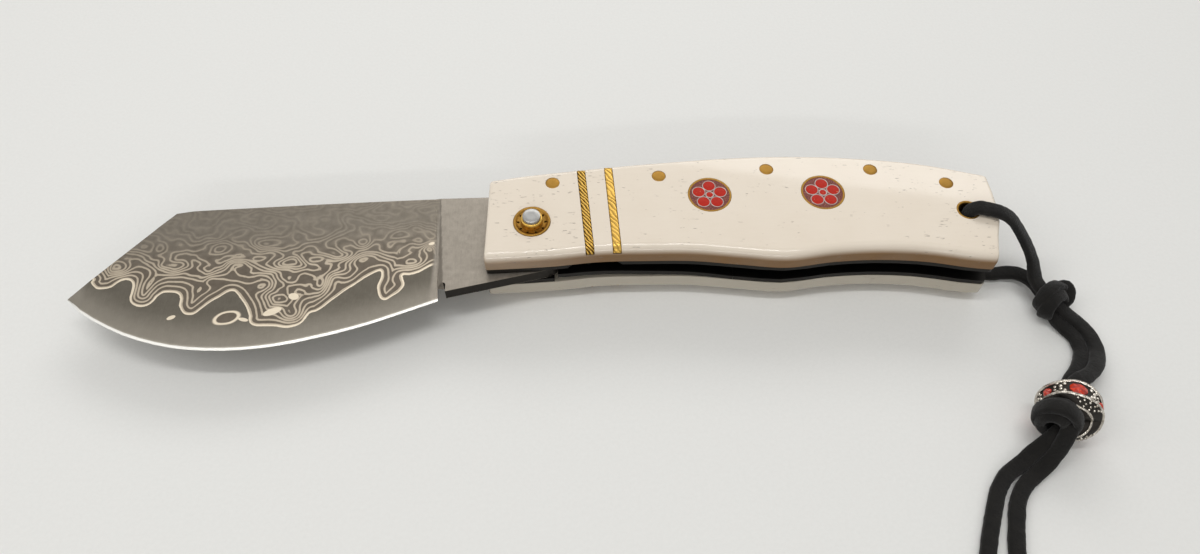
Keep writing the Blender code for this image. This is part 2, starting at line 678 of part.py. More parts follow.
spacer_half = SLOT_HALF - SEAT_GAP
backspacer = finish(
    prism(backspacer_outline(), -spacer_half, spacer_half), "backspacer", LINER_STEEL
)
for number, place in enumerate(pin_places[:EDGE_PINS], 1):
    cut(backspacer, prism(pin_slot(place), -SLOT_HALF, SLOT_HALF), f"backspacer_pin_slot_{number}")
cut(
    backspacer,
    rods(pin_places[EDGE_PINS:], PIN_RADIUS + FIT_GAP, -SLOT_HALF, SLOT_HALF, PIN_SIDES),
    "backspacer_pin_holes",
)
cut(
    backspacer,
    rods([lanyard_place], LANYARD_TUBE_RADIUS + FIT_GAP, -SLOT_HALF, SLOT_HALF, PIN_SIDES),
    "backspacer_lanyard_hole",
)


# Lock arm, a strip of the lower liner that springs up behind the tang
def lock_arm_outline():
    """The arm in plan, measured from its root: along the belly, then back along the slot."""
    tip = LOCK_FACE_BEHIND_PIVOT + SEAT_GAP
    root = LOCK_ROOT_BEHIND_PIVOT - SEAT_GAP
    points = []
    for step in range(HANDLE_STATIONS):
        place = tip + (root - tip) * step / (HANDLE_STATIONS - 1)
        points.append((place, belly_at(place) + LINER_INSET))
    points += [(root, -LOCK_ARM_BELOW_PIVOT), (tip, -LOCK_ARM_BELOW_PIVOT)]
    return [(x - LOCK_ROOT_BEHIND_PIVOT, y) for x, y in points]


lock_arm = finish(
    prism(lock_arm_outline(), -LINER_THICKNESS / 2, LINER_THICKNESS / 2),
    "lock_arm", LINER_STEEL,
    location=(LOCK_ROOT_BEHIND_PIVOT, 0, -SLOT_HALF - LINER_THICKNESS / 2),
)
lock_arm.rotation_euler = (0, lock_arm_angle, 0)

ball = bmesh.new()
ball_height = LINER_THICKNESS / 2 + DETENT_STANDOUT - DETENT_RADIUS
bmesh.ops.create_uvsphere(
    ball, u_segments=BALL_SIDES, v_segments=BALL_SIDES // 2 + 1, radius=DETENT_RADIUS,
    matrix=Matrix.Translation(
        (DETENT_BEHIND_PIVOT - LOCK_ROOT_BEHIND_PIVOT, -DETENT_BELOW_PIVOT, ball_height)
    ),
)
cut(lock_arm, ball, "detent_ball")
lock_arm.modifiers["detent_ball"].operation = "UNION"


# Blade
def blade_section(reach):
    """A ground section: wide at the spine, a shoulder above the edge, and the edge."""
    slant = PLUNGE_SLANT * max(0.0, 1 - (reach - HEEL_REACH) / SLANT_FADE)
    top = Vector((-reach - slant, blade_top(reach + slant)))
    bottom = Vector((-reach, blade_edge(reach)))
    width = (top - bottom).length
    shoulder = bottom.lerp(top, min(EDGE_BEVEL / width, 0.5))
    clip_share = min(1.0, (BLADE_REACH - reach) / CLIP_RUN)
    shoulder_half = SHOULDER_THICKNESS / 2 * min(1.0, width / (2 * EDGE_BEVEL))
    top_half = shoulder_half + (BLADE_HALF - shoulder_half) * clip_share
    return (top, top_half), (shoulder, shoulder_half), (bottom, EDGE_THICKNESS / 2)


def blade_sections():
    """All sections from the full thickness over the notch to the tip."""
    notch_reach = HEEL_REACH - NOTCH_WIDTH / 2
    notch_top = Vector((-notch_reach, blade_edge(notch_reach) + NOTCH_HEIGHT))
    crown = Vector((-notch_reach, blade_top(notch_reach)))
    full = [
        (crown, BLADE_HALF), (notch_top.lerp(crown, EDGE_BEVEL / (crown - notch_top).length), BLADE_HALF),
        (notch_top, BLADE_HALF),
    ]
    ground = blade_section(HEEL_REACH)
    run_share = NOTCH_HEIGHT / (ground[0][0] - ground[2][0]).length
    wall_half = EDGE_THICKNESS + run_share * BLADE_HALF
    wall = [ground[0]]
    for share in PLUNGE_RING_SHARES:
        wall.append((ground[2][0].lerp(ground[0][0], run_share * share), wall_half * share))
    tip_gap = EDGE_THICKNESS / BLADE_REACH
    reaches = [
        HEEL_REACH + (BLADE_REACH * (1 - tip_gap) - HEEL_REACH) * k / BLADE_STATIONS
        for k in range(BLADE_STATIONS + 1)
    ]
    return [full, wall] + [blade_section(reach) for reach in reaches]


def tang_outline():
    """The tang in plan, from the spine over the stop shoulder and the lock face to the notch."""
    shoulder_x = STOP_PIN_BEHIND_PIVOT - PIN_RADIUS - SEAT_GAP
    notch_reach = HEEL_REACH - NOTCH_WIDTH / 2
    notch_radius = NOTCH_WIDTH / 2
    spine = [(-notch_reach * share, blade_top(notch_reach * share)) for share in TANG_SPINE_SHARES]
    shoulder_top = (shoulder_x, blade_top(-shoulder_x))
    upper_deg = math.degrees(math.acos(shoulder_x / TANG_RADIUS))
    face_top_deg = -math.degrees(math.asin(LOCK_FACE_BELOW_PIVOT / TANG_RADIUS))
    face_end_deg = -math.degrees(math.acos(LOCK_FACE_BEHIND_PIVOT / TANG_RADIUS))
    foot_deg = RICASSO_DEG - 90
    back = arc((0, 0), TANG_RADIUS, upper_deg, face_top_deg, 2 * ARC_STEPS)
    lock_corner = (LOCK_FACE_BEHIND_PIVOT, -LOCK_FACE_BELOW_PIVOT)
    foot = arc((0, 0), TANG_RADIUS, face_end_deg, foot_deg, ARC_STEPS // 2)
    wall_reach = notch_reach - notch_radius
    foot_x, foot_y = foot[-1]
    corner_y = foot_y - (wall_reach + foot_x) * math.tan(math.radians(RICASSO_DEG))
    notch_centre = (-notch_reach, blade_edge(notch_reach) + NOTCH_HEIGHT - notch_radius)
    notch = arc(notch_centre, notch_radius, 0, 90, ARC_STEPS // 2)
    return [*spine, shoulder_top, *back, lock_corner, *foot, (-wall_reach, corner_y), *notch[:-1]]


def blade_solid():
    """The tang plate and the ground blade, joined at the section over the notch."""
    bm = bmesh.new()
    loops = []
    for section in blade_sections():
        up = [bm.verts.new((p.x, p.y, half)) for p, half in section]
        down = [bm.verts.new((p.x, p.y, -half)) for p, half in section]
        loops.append(up + down[::-1])
    for first, second in zip(loops, loops[1:]):
        for i in range(len(first)):
            bm.faces.new((first[i - 1], first[i], second[i], second[i - 1]))
    bm.faces.new(loops[-1])
    outline = tang_outline()
    upper = [bm.verts.new((x, y, BLADE_HALF)) for x, y in outline]
    lower = [bm.verts.new((x, y, -BLADE_HALF)) for x, y in outline]
    join = loops[0]
    bm.faces.new(upper + [join[2], join[1], join[0]])
    bm.faces.new(lower + [join[3], join[4], join[5]])
    chain = [join[0]] + upper + [join[2]]
    chain_below = [join[5]] + lower + [join[3]]
    for i in range(len(chain) - 1):
        bm.faces.new((chain[i], chain[i + 1], chain_below[i + 1], chain_below[i]))
    return bm


blade = finish(blade_solid(), "blade", BLADE_STEEL)
pivot_hole = rods(
    [(0, 0)], PIVOT_RADIUS + FIT_GAP, -BLADE_THICKNESS, BLADE_THICKNESS, PIVOT_SIDES
)
cut(blade, pivot_hole, "blade_pivot_hole")
detent_place = Matrix.Rotation(-CLOSED_ANGLE, 2) @ Vector((DETENT_BEHIND_PIVOT, -DETENT_BELOW_PIVOT))
detent_pit = rods(
    [tuple(detent_place)], DETENT_RADIUS, -BLADE_THICKNESS, DETENT_STANDOUT - BLADE_HALF, BALL_SIDES
)
cut(blade, detent_pit, "detent_pit")


# Mosaic pins
def flower_bores():
    """The places of the petal tubes round the middle one."""
    turns = [math.radians(90 + 360 * k / PETAL_COUNT) for k in range(PETAL_COUNT)]
    return [(PETAL_CENTRE_RADIUS * math.cos(a), PETAL_CENTRE_RADIUS * math.sin(a)) for a in turns]


def flower_outline(grow):
    """The outer line of a round of petals that touch."""
    radius = PETAL_RADIUS + grow
    half_pitch = math.pi / PETAL_COUNT
    side = PETAL_CENTRE_RADIUS * math.sin(half_pitch)
    rise = PETAL_CENTRE_RADIUS * math.cos(half_pitch) + math.sqrt(radius ** 2 - side ** 2)
    meet_x, meet_y = rise * math.cos(half_pitch), rise * math.sin(half_pitch)
    sweep = math.degrees(math.atan2(meet_y, meet_x - PETAL_CENTRE_RADIUS))
    outline = []
    for k, centre in enumerate(flower_bores()):
        turn = 90 + 360 * k / PETAL_COUNT
        outline += arc(centre, radius, turn - sweep, turn + sweep, ARC_STEPS)[:-1]
    return outline


def cut_bores(piece, shrink, low, high):
    """Cut the petal bores and the middle bore through a flower."""
    cut(
        piece, rods(flower_bores(), PETAL_BORE_RADIUS - shrink, low, high, BORE_SIDES),
        f"{piece.name}_petal_bores",
    )
    cut(
        piece, rods([(0, 0)], HEART_BORE_RADIUS - shrink, low, high, BORE_SIDES),
        f"{piece.name}_heart_bore",
    )


for side, word in ((1, "upper"), (-1, "lower")):
    low, high = sorted((side * (SCALE_INNER + SEAT_GAP), side * SCALE_OUTER))
    floor_low, floor_high = sorted((side * (SCALE_INNER + SEAT_GAP + MOSAIC_BASE), side * SCALE_OUTER))
    for number, place in enumerate(mosaic_places, 1):
        wall = ring(MOSAIC_RADIUS, MOSAIC_RADIUS - MOSAIC_WALL, low, high, MOSAIC_SIDES)
        finish(wall, f"{word}_mosaic_tube_{number}", BRASS, location=(*place, 0))
        flower_low, flower_high = sorted(
            (side * (SCALE_INNER + SEAT_GAP + MOSAIC_BASE + FIT_GAP), side * SCALE_OUTER)
        )
        flower = finish(
            prism(flower_outline(0.0), flower_low, flower_high),
            f"{word}_mosaic_flower_{number}", BRIGHT_STEEL, location=(*place, 0),
        )
        cut_bores(flower, 0.0, low - OVERRUN, high + OVERRUN)
        filling = finish(
            rods([(0, 0)], MOSAIC_RADIUS - MOSAIC_WALL - FIT_GAP, low, high, MOSAIC_SIDES),
            f"{word}_mosaic_filling_{number}", RESIN, location=(*place, 0),
        )
        cut_low, cut_high = sorted(
            (side * (SCALE_INNER + SEAT_GAP + MOSAIC_BASE), side * (SCALE_OUTER + OVERRUN))
        )
        pocket = finish(
            prism(flower_outline(FIT_GAP), cut_low, cut_high),
            f"{filling.name}_pocket", RESIN, filling,
        )
        pocket.hide_render = True
        pocket.display_type = "WIRE"
        cut_bores(pocket, FIT_GAP, cut_low - OVERRUN, cut_high + OVERRUN)
        modifier = filling.modifiers.new("pocket", "BOOLEAN")
        modifier.operation = "DIFFERENCE"
        modifier.object = pocket


# Lanyard
def smooth_route(points, step):
    """Evenly spaced points on the smooth curve through a route's own points."""
    points = [Vector(point) for point in points]
    fine = []
    for i in range(len(points) - 1):
        before, after = points[max(i - 1, 0)], points[min(i + 2, len(points) - 1)]
        here, there = points[i], points[i + 1]
        for k in range(ROUTE_DIVISIONS):
            t = k / ROUTE_DIVISIONS
            fine.append(0.5 * (
                2 * here + (there - before) * t
                + (2 * before - 5 * here + 4 * there - after) * t ** 2
                + (3 * here - before - 3 * there + after) * t ** 3
            ))
    fine.append(points[-1])
    lengths = [0.0]
    for first, second in zip(fine, fine[1:]):
        lengths.append(lengths[-1] + (second - first).length)
    count = round(lengths[-1] / step)
    route = []
    for k in range(count):
        target = lengths[-1] * k / count
        i = max(n for n, length in enumerate(lengths) if length <= target)
        route.append(fine[i])
    return route + [fine[-1]]


def cord(name, points):
    """A length of round cord along a route; returns the places along its middle."""
    curve = bpy.data.curves.new(name, "CURVE")
    curve.dimensions = "3D"
    curve.bevel_depth = CORD_DIAMETER / 2
    curve.bevel_resolution = 2
    curve.use_fill_caps = True
    route = smooth_route(points, CORD_STEP)
    spline = curve.splines.new("POLY")
    spline.points.add(len(route) - 1)
    for point, place in zip(spline.points, route):
        point.co = (*place, 1.0)
    curve.materials.append(SUEDE)
    piece = bpy.data.objects.new(name, curve)
    bpy.context.collection.objects.link(piece)
    return route


def knot(name, x, y, length, width, height, ends):
    """A tight knot that lies on the table, with a close socket for each cord end it holds."""
    bm = bmesh.new()
    bmesh.ops.create_uvsphere(
        bm, u_segments=KNOT_SIDES, v_segments=KNOT_SIDES // 2 + 1, radius=1,
        matrix=Matrix.Diagonal((width / 2, length / 2, height / 2, 1)),
    )
    piece = finish(bm, name, SUEDE, None, (x, -y, height / 2 + FLOOR_GAP))
    piece.rotation_euler = (0, 0, math.radians(BEAD_HEADING_DEG))
    to_knot = Matrix.LocRotScale(piece.location, piece.rotation_euler, None).inverted()
    radius = CORD_DIAMETER / 2 + FIT_GAP
    for number, (end, before) in enumerate(ends, 1):
        outward = (before - end).normalized()
        centre = end + outward * (SOCKET_LENGTH / 2 - SEAT_GAP)
        turn = outward.to_track_quat("Z", "Y").to_matrix().to_4x4()
        socket = bmesh.new()
        bmesh.ops.create_cone(
            socket, cap_ends=True, segments=KNOT_SIDES, radius1=radius, radius2=radius,
            depth=SOCKET_LENGTH, matrix=to_knot @ Matrix.Translation(centre) @ turn,
        )
        cut(piece, socket, f"{name}_socket_{number}")


upper_leg = cord("lanyard_upper_leg", UPPER_LEG_ROUTE)
lower_leg = cord("lanyard_lower_leg", LOWER_LEG_ROUTE)
outer_strand = cord("lanyard_outer_strand", OUTER_STRAND_ROUTE)
inner_strand = cord("lanyard_inner_strand", INNER_STRAND_ROUTE)
left_tail = cord("lanyard_left_tail", LEFT_TAIL_ROUTE)
right_tail = cord("lanyard_right_tail", RIGHT_TAIL_ROUTE)
knot(
    "lanyard_knot", KNOT_BEHIND_PIVOT, KNOT_BELOW_PIVOT, KNOT_LENGTH, KNOT_WIDTH, KNOT_HEIGHT,
    (
        (upper_leg[-1], upper_leg[-2]), (lower_leg[-1], lower_leg[-2]),
        (outer_strand[0], outer_strand[1]), (inner_strand[0], inner_strand[1]),
    ),
)
knot(
    "lanyard_end_knot", END_KNOT_BEHIND_PIVOT, END_KNOT_BELOW_PIVOT,
    END_KNOT_LENGTH, END_KNOT_WIDTH, END_KNOT_HEIGHT,
    (
        (outer_strand[-1], outer_strand[-2]), (inner_strand[-1], inner_strand[-2]),
        (left_tail[0], left_tail[1]), (right_tail[0], right_tail[1]),
    ),
)


# Bead and its stones
def bead_profile():
    """The bead's wall: a flat band between two ridges, and a bore for the cord."""
    half = [(BEAD_RADIUS * radius, BEAD_LENGTH / 2 * along) for along, radius in BEAD_OUTLINE_SHARES]
    outer = [(radius, -height) for radius, height in reversed(half)] + half
    return outer + [(BEAD_BORE_RADIUS, BEAD_LENGTH / 2), (BEAD_BORE_RADIUS, -BEAD_LENGTH / 2)]


bead = finish(
    turned(bead_profile(), BEAD_SIDES), "bead", SILVER, None,
    (BEAD_BEHIND_PIVOT, -BEAD_BELOW_PIVOT, BEAD_RADIUS + FLOOR_GAP),
)
bead.rotation_euler = (math.radians(90), 0, math.radians(BEAD_HEADING_DEG))
BAND_RADIUS = BEAD_RADIUS * BEAD_OUTLINE_SHARES[0][1]


def stone_turn(number):
    """How a stone's own axis is turned to point out of the band."""
    turn = math.radians(STONE_TURN_DEG + 180 * number / STONE_PAIRS)
    return Matrix.Rotation(-turn, 4, "Z") @ Matrix.Rotation(-math.pi / 2, 4, "X")


stone_base = BAND_RADIUS + STONE_STANDOUT - STONE_HEIGHT
for parity, radius, word in ((0, BIG_STONE_RADIUS, "big"), (1, SMALL_STONE_RADIUS, "small")):
    sockets = bmesh.new()
    for pair in range(STONE_PAIRS):
        number = 2 * pair + parity
        turn = stone_turn(number)
        depth = STONE_HEIGHT + OVERRUN
        centre = turn @ Matrix.Translation((0, 0, stone_base - SEAT_GAP + depth / 2))
        bmesh.ops.create_cone(
            sockets, cap_ends=True, segments=GEM_SIDES, radius1=radius + FIT_GAP,
            radius2=radius + FIT_GAP, depth=depth, matrix=centre,
        )
        gem = turned([(radius * r, STONE_HEIGHT * h) for r, h in STONE_SHARES], GEM_SIDES)
        bmesh.ops.transform(gem, matrix=turn @ Matrix.Translation((0, 0, stone_base)), verts=gem.verts)
        finish(gem, f"{word}_stone_{pair + 1}", STONE, bead)
    cut(bead, sockets, f"{word}_sockets")
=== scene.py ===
"""A folding skinning knife with bone scales and a beaded lanyard, dressed over its CAD frame."""

import math

import bmesh
import bpy
from mathutils import Matrix, Vector, kdtree, noise


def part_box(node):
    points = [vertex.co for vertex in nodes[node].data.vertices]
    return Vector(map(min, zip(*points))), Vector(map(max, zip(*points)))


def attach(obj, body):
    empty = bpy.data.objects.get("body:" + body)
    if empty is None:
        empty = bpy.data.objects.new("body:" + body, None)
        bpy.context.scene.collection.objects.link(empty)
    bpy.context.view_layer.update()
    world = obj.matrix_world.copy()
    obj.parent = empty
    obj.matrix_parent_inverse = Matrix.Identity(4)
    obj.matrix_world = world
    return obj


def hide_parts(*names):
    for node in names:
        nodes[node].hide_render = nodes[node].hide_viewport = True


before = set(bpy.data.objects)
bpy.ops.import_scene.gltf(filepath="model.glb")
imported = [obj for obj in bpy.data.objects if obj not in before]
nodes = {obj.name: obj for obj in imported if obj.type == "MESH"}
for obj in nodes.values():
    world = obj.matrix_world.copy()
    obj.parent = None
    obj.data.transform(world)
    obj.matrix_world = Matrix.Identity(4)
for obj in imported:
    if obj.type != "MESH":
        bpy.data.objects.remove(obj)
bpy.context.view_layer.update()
MM = 0.001


# Table, light and camera
# The knife lies on a pale matt sheet, under soft boxes behind it and to the left, with a strip above
# it and one in front that draw the thin highlights along its rounded edges.
# The camera looks down from the belly side, where the photograph was taken.
def paint(red, green, blue):
    """A colour as a screen shows it, from 0 to 255, in the shader's own linear values."""
    linear = []
    for shown in (red, green, blue):
        share = shown / 255
        linear.append(share / 12.92 if share < 0.04045 else ((share + 0.055) / 1.055) ** 2.4)
    return (*linear, 1.0)


class Signal:
    """One output of a shader node. Sums that are written with it become Math nodes."""

    def __init__(self, owner, socket):
        self.owner, self.socket = owner, socket

    def maths(self, operation, *values):
        return self.owner.node("ShaderNodeMath", {"operation": operation}, dict(enumerate(values)))

    def __add__(self, other):
        return self.maths("ADD", self, other)

    __radd__ = __add__

    def __sub__(self, other):
        return self.maths("SUBTRACT", self, other)

    def __rsub__(self, other):
        return self.maths("SUBTRACT", other, self)

    def __mul__(self, other):
        return self.maths("MULTIPLY", self, other)

    __rmul__ = __mul__

    def __truediv__(self, other):
        return self.maths("DIVIDE", self, other)

    def __mod__(self, other):
        return self.maths("FLOORED_MODULO", self, other)

    def __abs__(self):
        return self.maths("ABSOLUTE", self)

    def most(self, other):
        return self.maths("MAXIMUM", self, other)

    def rise(self, low, high):
        """0 below low and 1 above high, with a soft step between them."""
        settings = {"interpolation_type": "SMOOTHSTEP"}
        return self.owner.node(
            "ShaderNodeMapRange", settings, {"Value": self, "From Min": low, "From Max": high}
        )


class Shading:
    """The shader nodes of a material or of the world."""

    def __init__(self, tree):
        self.tree = tree

    def node(self, kind, settings, inputs, output=0):
        """A node of one kind: its settings first, then what its sockets are given."""
        made = self.tree.nodes.new(kind)
        for name, value in settings.items():
            setattr(made, name, value)
        for name, value in inputs.items():
            if isinstance(value, Signal):
                self.tree.links.new(value.socket, made.inputs[name])
            else:
                made.inputs[name].default_value = value
        return Signal(self, made.outputs[output])

    def shader(self, name):
        """The shader that a named node gives, for a Mix Shader to take."""
        return Signal(self, self.tree.nodes[name].outputs[0])

    def show(self, shader, target):
        """Feed a shader to the tree's closing node."""
        self.tree.links.new(shader.socket, self.tree.nodes[target].inputs["Surface"])


class Finish(Shading):
    """One material, and the surface shader that its nodes feed."""

    def __init__(self, name, **fixed):
        self.material = bpy.data.materials.new(name)
        self.material.use_nodes = True
        super().__init__(self.material.node_tree)
        self.surface = self.tree.nodes["Principled BSDF"]
        for socket, value in fixed.items():
            self.surface.inputs[socket.replace("_", " ")].default_value = value
        self.place = self.node("ShaderNodeTexCoord", {}, {}, "Object")

    def noise(self, size, detail=2.0, roughness=0.5, stretch=(1, 1, 1)):
        """Noise from 0 to 1, of a size in metres, which may be drawn out along an axis."""
        scale = [1 / (size * part) for part in stretch]
        spread = self.node("ShaderNodeMapping", {}, {"Vector": self.place, "Scale": scale})
        inputs = {"Vector": spread, "Scale": 1.0, "Detail": detail, "Roughness": roughness}
        return self.node("ShaderNodeTexNoise", {}, inputs)

    def mix(self, share, low, high):
        """A colour between two colours."""
        return self.node("ShaderNodeMix", {"data_type": "RGBA"}, {0: share, 6: low, 7: high}, 2)

    def coordinate(self, axis):
        """A place along one axis, in millimetres."""
        return self.node("ShaderNodeSeparateXYZ", {}, {"Vector": self.place}, axis) / MM

    def value_of(self, name):
        """A number that the mesh holds at each of its points."""
        return self.node("ShaderNodeAttribute", {"attribute_name": name}, {}, "Fac")

    def put(self, **links):
        """Feed the surface shader's sockets."""
        for socket, signal in links.items():
            self.tree.links.new(signal.socket, self.surface.inputs[socket.replace("_", " ")])

    def emboss(self, height):
        """Relief from a height in millimetres."""
        inputs = {"Height": height, "Distance": MM, "Strength": 1.0}
        self.put(Normal=self.node("ShaderNodeBump", {}, inputs))


def placed(name, data):
    """Put a mesh, a curve, a lamp or a camera into the scene."""
    piece = bpy.data.objects.new(name, data)
    bpy.context.collection.objects.link(piece)
    return piece


def added(name, primitive, **settings):
    """Add a primitive, with nothing else selected."""
    bpy.ops.object.select_all(action="DESELECT")
    primitive(**settings)
    bpy.context.object.name = name
    return bpy.context.object


PHOTO_WIDTH = 1200
SENSOR_WIDTH = 36.0
FOCAL_PIXELS = 892.6
CAMERA_PLACE = (0.01344, -0.12208, 0.17268)
CAMERA_TURN_DEG = (34.499, -0.3817, -0.2871)
camera = placed("camera", bpy.data.cameras.new("camera"))
camera.location = CAMERA_PLACE
camera.rotation_euler = [math.radians(degrees) for degrees in CAMERA_TURN_DEG]
camera.data.sensor_width = SENSOR_WIDTH
camera.data.lens = FOCAL_PIXELS * SENSOR_WIDTH / PHOTO_WIDTH
camera.data.clip_start = 0.01
bpy.context.scene.camera = camera
bpy.context.scene.view_settings.view_transform = "Standard"

# between these distances the sheet fades into a blank ground, as the camera sees it
FADE_START, FADE_END = 0.35, 1.1
table = added("table", bpy.ops.mesh.primitive_plane_add, size=4.0)
sheet = Finish("table_sheet", Roughness=0.9, Specular_IOR_Level=0.2)
grain = sheet.noise(0.8 * MM, 4.0, 0.6)
sheet.put(Base_Color=sheet.mix(grain, paint(226, 226, 223), paint(234, 234, 231)))
sheet.emboss(grain * 0.03)
apart = sheet.node("ShaderNodeVectorMath", {"operation": "LENGTH"}, {"Vector": sheet.place}, "Value")
looked_at = sheet.node("ShaderNodeLightPath", {}, {}, "Is Camera Ray")
blank = sheet.node("ShaderNodeEmission", {}, {"Color": paint(246, 246, 244)}, "Emission")
faded = apart.rise(FADE_START, FADE_END) * looked_at
matt = sheet.shader("Principled BSDF")
sheet.show(sheet.node("ShaderNodeMixShader", {}, {0: faded, 1: matt, 2: blank}), "Material Output")
table.data.materials.append(sheet.material)

# the world is a dim light, and plain white where it is seen, mirrored or looked through
world = bpy.data.worlds.new("studio")
bpy.context.scene.world = world
world.use_nodes = True
studio = Shading(world.node_tree)
sky = studio.tree.nodes["Background"]
sky.inputs["Color"].default_value = (1.0, 0.985, 0.965, 1.0)
sky.inputs["Strength"].default_value = 0.42
dim = studio.shader("Background")
white = studio.node("ShaderNodeBackground", {}, {})
by_camera, mirrored, through = (
    studio.node("ShaderNodeLightPath", {}, {}, f"Is {kind} Ray")
    for kind in ("Camera", "Glossy", "Transmission")
)
seen = by_camera.most(mirrored.most(through))
studio.show(studio.node("ShaderNodeMixShader", {}, {0: seen, 1: dim, 2: white}), "World Output")


def soft_box(name, location, target, width, height, power):
    """A rectangular lamp that faces a point."""
    lamp = bpy.data.lights.new(name, "AREA")
    lamp.shape = "RECTANGLE"
    lamp.size, lamp.size_y, lamp.energy = width, height, power
    box = placed(name, lamp)
    box.location = location
    box.rotation_euler = (Vector(target) - Vector(location)).to_track_quat("-Z", "Y").to_euler()


soft_box("soft_box_back", (0.10, 0.55, 0.43), (0.01, 0.0, 0.01), 0.7, 0.25, 1.5)
soft_box("soft_box_left", (-0.55, -0.10, 0.60), (0.0, 0.0, 0.01), 0.4, 0.5, 1.05)
soft_box("strip_above", (0.0, -0.02, 0.62), (0.0, 0.0, 0.01), 0.5, 0.045, 1.0)
soft_box("strip_in_front", (0.0, -0.56, 0.34), (0.0, 0.0, 0.01), 0.5, 0.03, 0.5)


# Blade
# One plate of pattern-welded steel, ground flat from the spine to the edge and then etched, so
# that its layers show as contour lines over a plain core. It turns on the pivot pin.
MERGE = 0.001 * MM
PLUNGE_FOOT = (-19.45 * MM, -7.6 * MM)
PLUNGE_HEAD = (-22.2 * MM, 12.7 * MM)
SPINE_BREAK = 0.22 * MM
PLATE_HALF = 1.4 * MM
EDGE_HALF = 0.24 * MM
# the honed strip ends at the notch, and its faces lean by more than those of the flat grind
HONED_END = -20.3 * MM
HONED_SLOPE = (0.90, 0.988)
# the grid of cuts that holds the pattern: close over the ground sides, and wider over the tang
GROUND_STEP, GROUND_CUTS, HEIGHT_CUTS = 0.35 * MM, range(1, 232), range(1, 118)
TANG_STEP, TANG_CUTS = 4 * GROUND_STEP, range(58, 80)
# where the pattern ends above the plain edge, in millimetres from the pivot: the tip is at -x
EDGE_STEP = 0.15
PATTERN_EDGE = (
    (-103.0, -8.6), (-96.9, -10.5), (-96.6, -11.6), (-95.8, -12.8), (-94.5, -13.6), (-92.2, -13.2),
    (-91.0, -12.2), (-89.8, -11.5), (-88.3, -11.2), (-87.3, -12.0), (-87.1, -14.0), (-87.0, -15.5),
    (-86.4, -16.8), (-85.2, -17.7), (-83.8, -17.9), (-82.4, -17.4), (-81.4, -16.4), (-80.9, -15.2),
    (-79.9, -14.3), (-77.9, -14.3), (-76.5, -15.0), (-75.9, -16.2), (-75.6, -17.9), (-74.6, -19.3),
    (-73.3, -19.9), (-71.9, -19.6), (-70.4, -18.1), (-69.0, -16.7), (-66.5, -14.7), (-65.0, -14.2),
    (-63.8, -14.9), (-62.3, -16.6), (-61.0, -18.4), (-60.3, -20.2), (-59.9, -21.8), (-58.4, -22.7),
    (-54.7, -22.9), (-52.0, -23.2), (-50.0, -22.7), (-48.6, -21.6), (-47.2, -19.6), (-45.6, -18.9),
    (-42.6, -15.9), (-39.4, -12.8), (-36.0, -9.9), (-34.6, -9.0), (-33.5, -8.9), (-33.3, -10.3),
    (-33.8, -12.6), (-33.6, -14.4), (-32.8, -15.6), (-31.6, -16.1), (-30.3, -15.3), (-28.8, -14.0),
    (-28.0, -12.4), (-28.5, -10.6), (-28.4, -9.9), (-27.0, -9.8), (-25.0, -8.9), (-22.6, -7.4),
    (-21.0, -7.3), (-17.0, -7.0),
)
# hammered places: where, how long and wide, how they are turned, and how many layers they lift
HAMMER_MARKS = (
    (-91.2, -8.2, 2.3, 1.8, 0, 3.4), (-84.4, -13.4, 2.3, 2.9, 0, 1.6),
    (-79.0, -7.4, 3.6, 1.5, 0, 3.2), (-70.8, -11.6, 3.0, 1.5, 12, -2.8),
    (-65.8, -7.0, 2.4, 1.5, 0, -3.0), (-58.3, -11.6, 2.6, 2.4, 0, -5.0),
    (-54.8, -7.3, 4.2, 1.6, 0, 3.4), (-51.0, -19.6, 2.3, 1.7, 0, 2.6),
    (-46.0, -12.0, 1.3, 2.6, 0, 2.2), (-43.2, -11.2, 1.8, 2.0, 0, -1.6),
    (-38.4, -1.4, 1.9, 1.5, 0, 4.0), (-38.0, -5.6, 3.0, 1.6, 15, -2.6),
    (-43.5, -4.4, 3.0, 1.3, -12, 2.4), (-31.0, -11.4, 1.6, 1.8, 0, -0.5),
    (-26.6, -6.4, 2.7, 1.2, 12, 2.6), (-23.4, -2.8, 1.5, 1.3, -40, -3.4),
    (-31.5, 1.0, 3.0, 1.8, 0, -2.6), (-86.3, -2.6, 1.9, 1.3, 0, 2.6),
    (-78.3, 2.7, 3.0, 2.2, 0, 2.4), (-60.5, -1.0, 3.2, 2.2, 0, 2.8),
    (-71.0, -3.0, 2.8, 1.8, 0, -2.6), (-48.5, 1.0, 3.0, 2.0, 0, 2.4),
    (-53.0, 6.0, 3.0, 2.2, 0, -2.4),
)
# how long and high the swells of the layers are, where their noise is read, and how many they lift
SWELLS = ((6.0, 3.6, 3.0, 2.6), (2.6, 1.8, 9.0, 0.8))
# how far apart the layers lie along the plain edge, how far up that holds, and how far apart above
NEAR_LAYER, NEAR_BAND, FAR_LAYER = 1.12, 5.6, 2.3
# how long and wide the layers sway, and where the noise of each face is read
SWAY_LENGTH, SWAY = 3.2, 0.3
UPPER_SEED, LOWER_SEED = 0.0, 20.0
# a patch of the first layer in the plain edge, and the spots where one pale layer lies bare
ISLAND = (-64.8, -20.8, 3.1, 1.75, 16)
BARE_SPOTS = (
    (-55.4, -19.2, 2.1, 0.85, 24), (-51.5, -15.4, 1.2, 0.85, -15), (-76.7, -20.7, 1.0, 0.5, 24),
    (-61.2, -21.2, 1.2, 0.45, -12), (-22.9, -1.3, 0.8, 0.4, 20),
)


def take(piece):
    """Make a piece the only selected one, and the active one."""
    bpy.ops.object.select_all(action="DESELECT")
    piece.select_set(True)
    bpy.context.view_layer.objects.active = piece


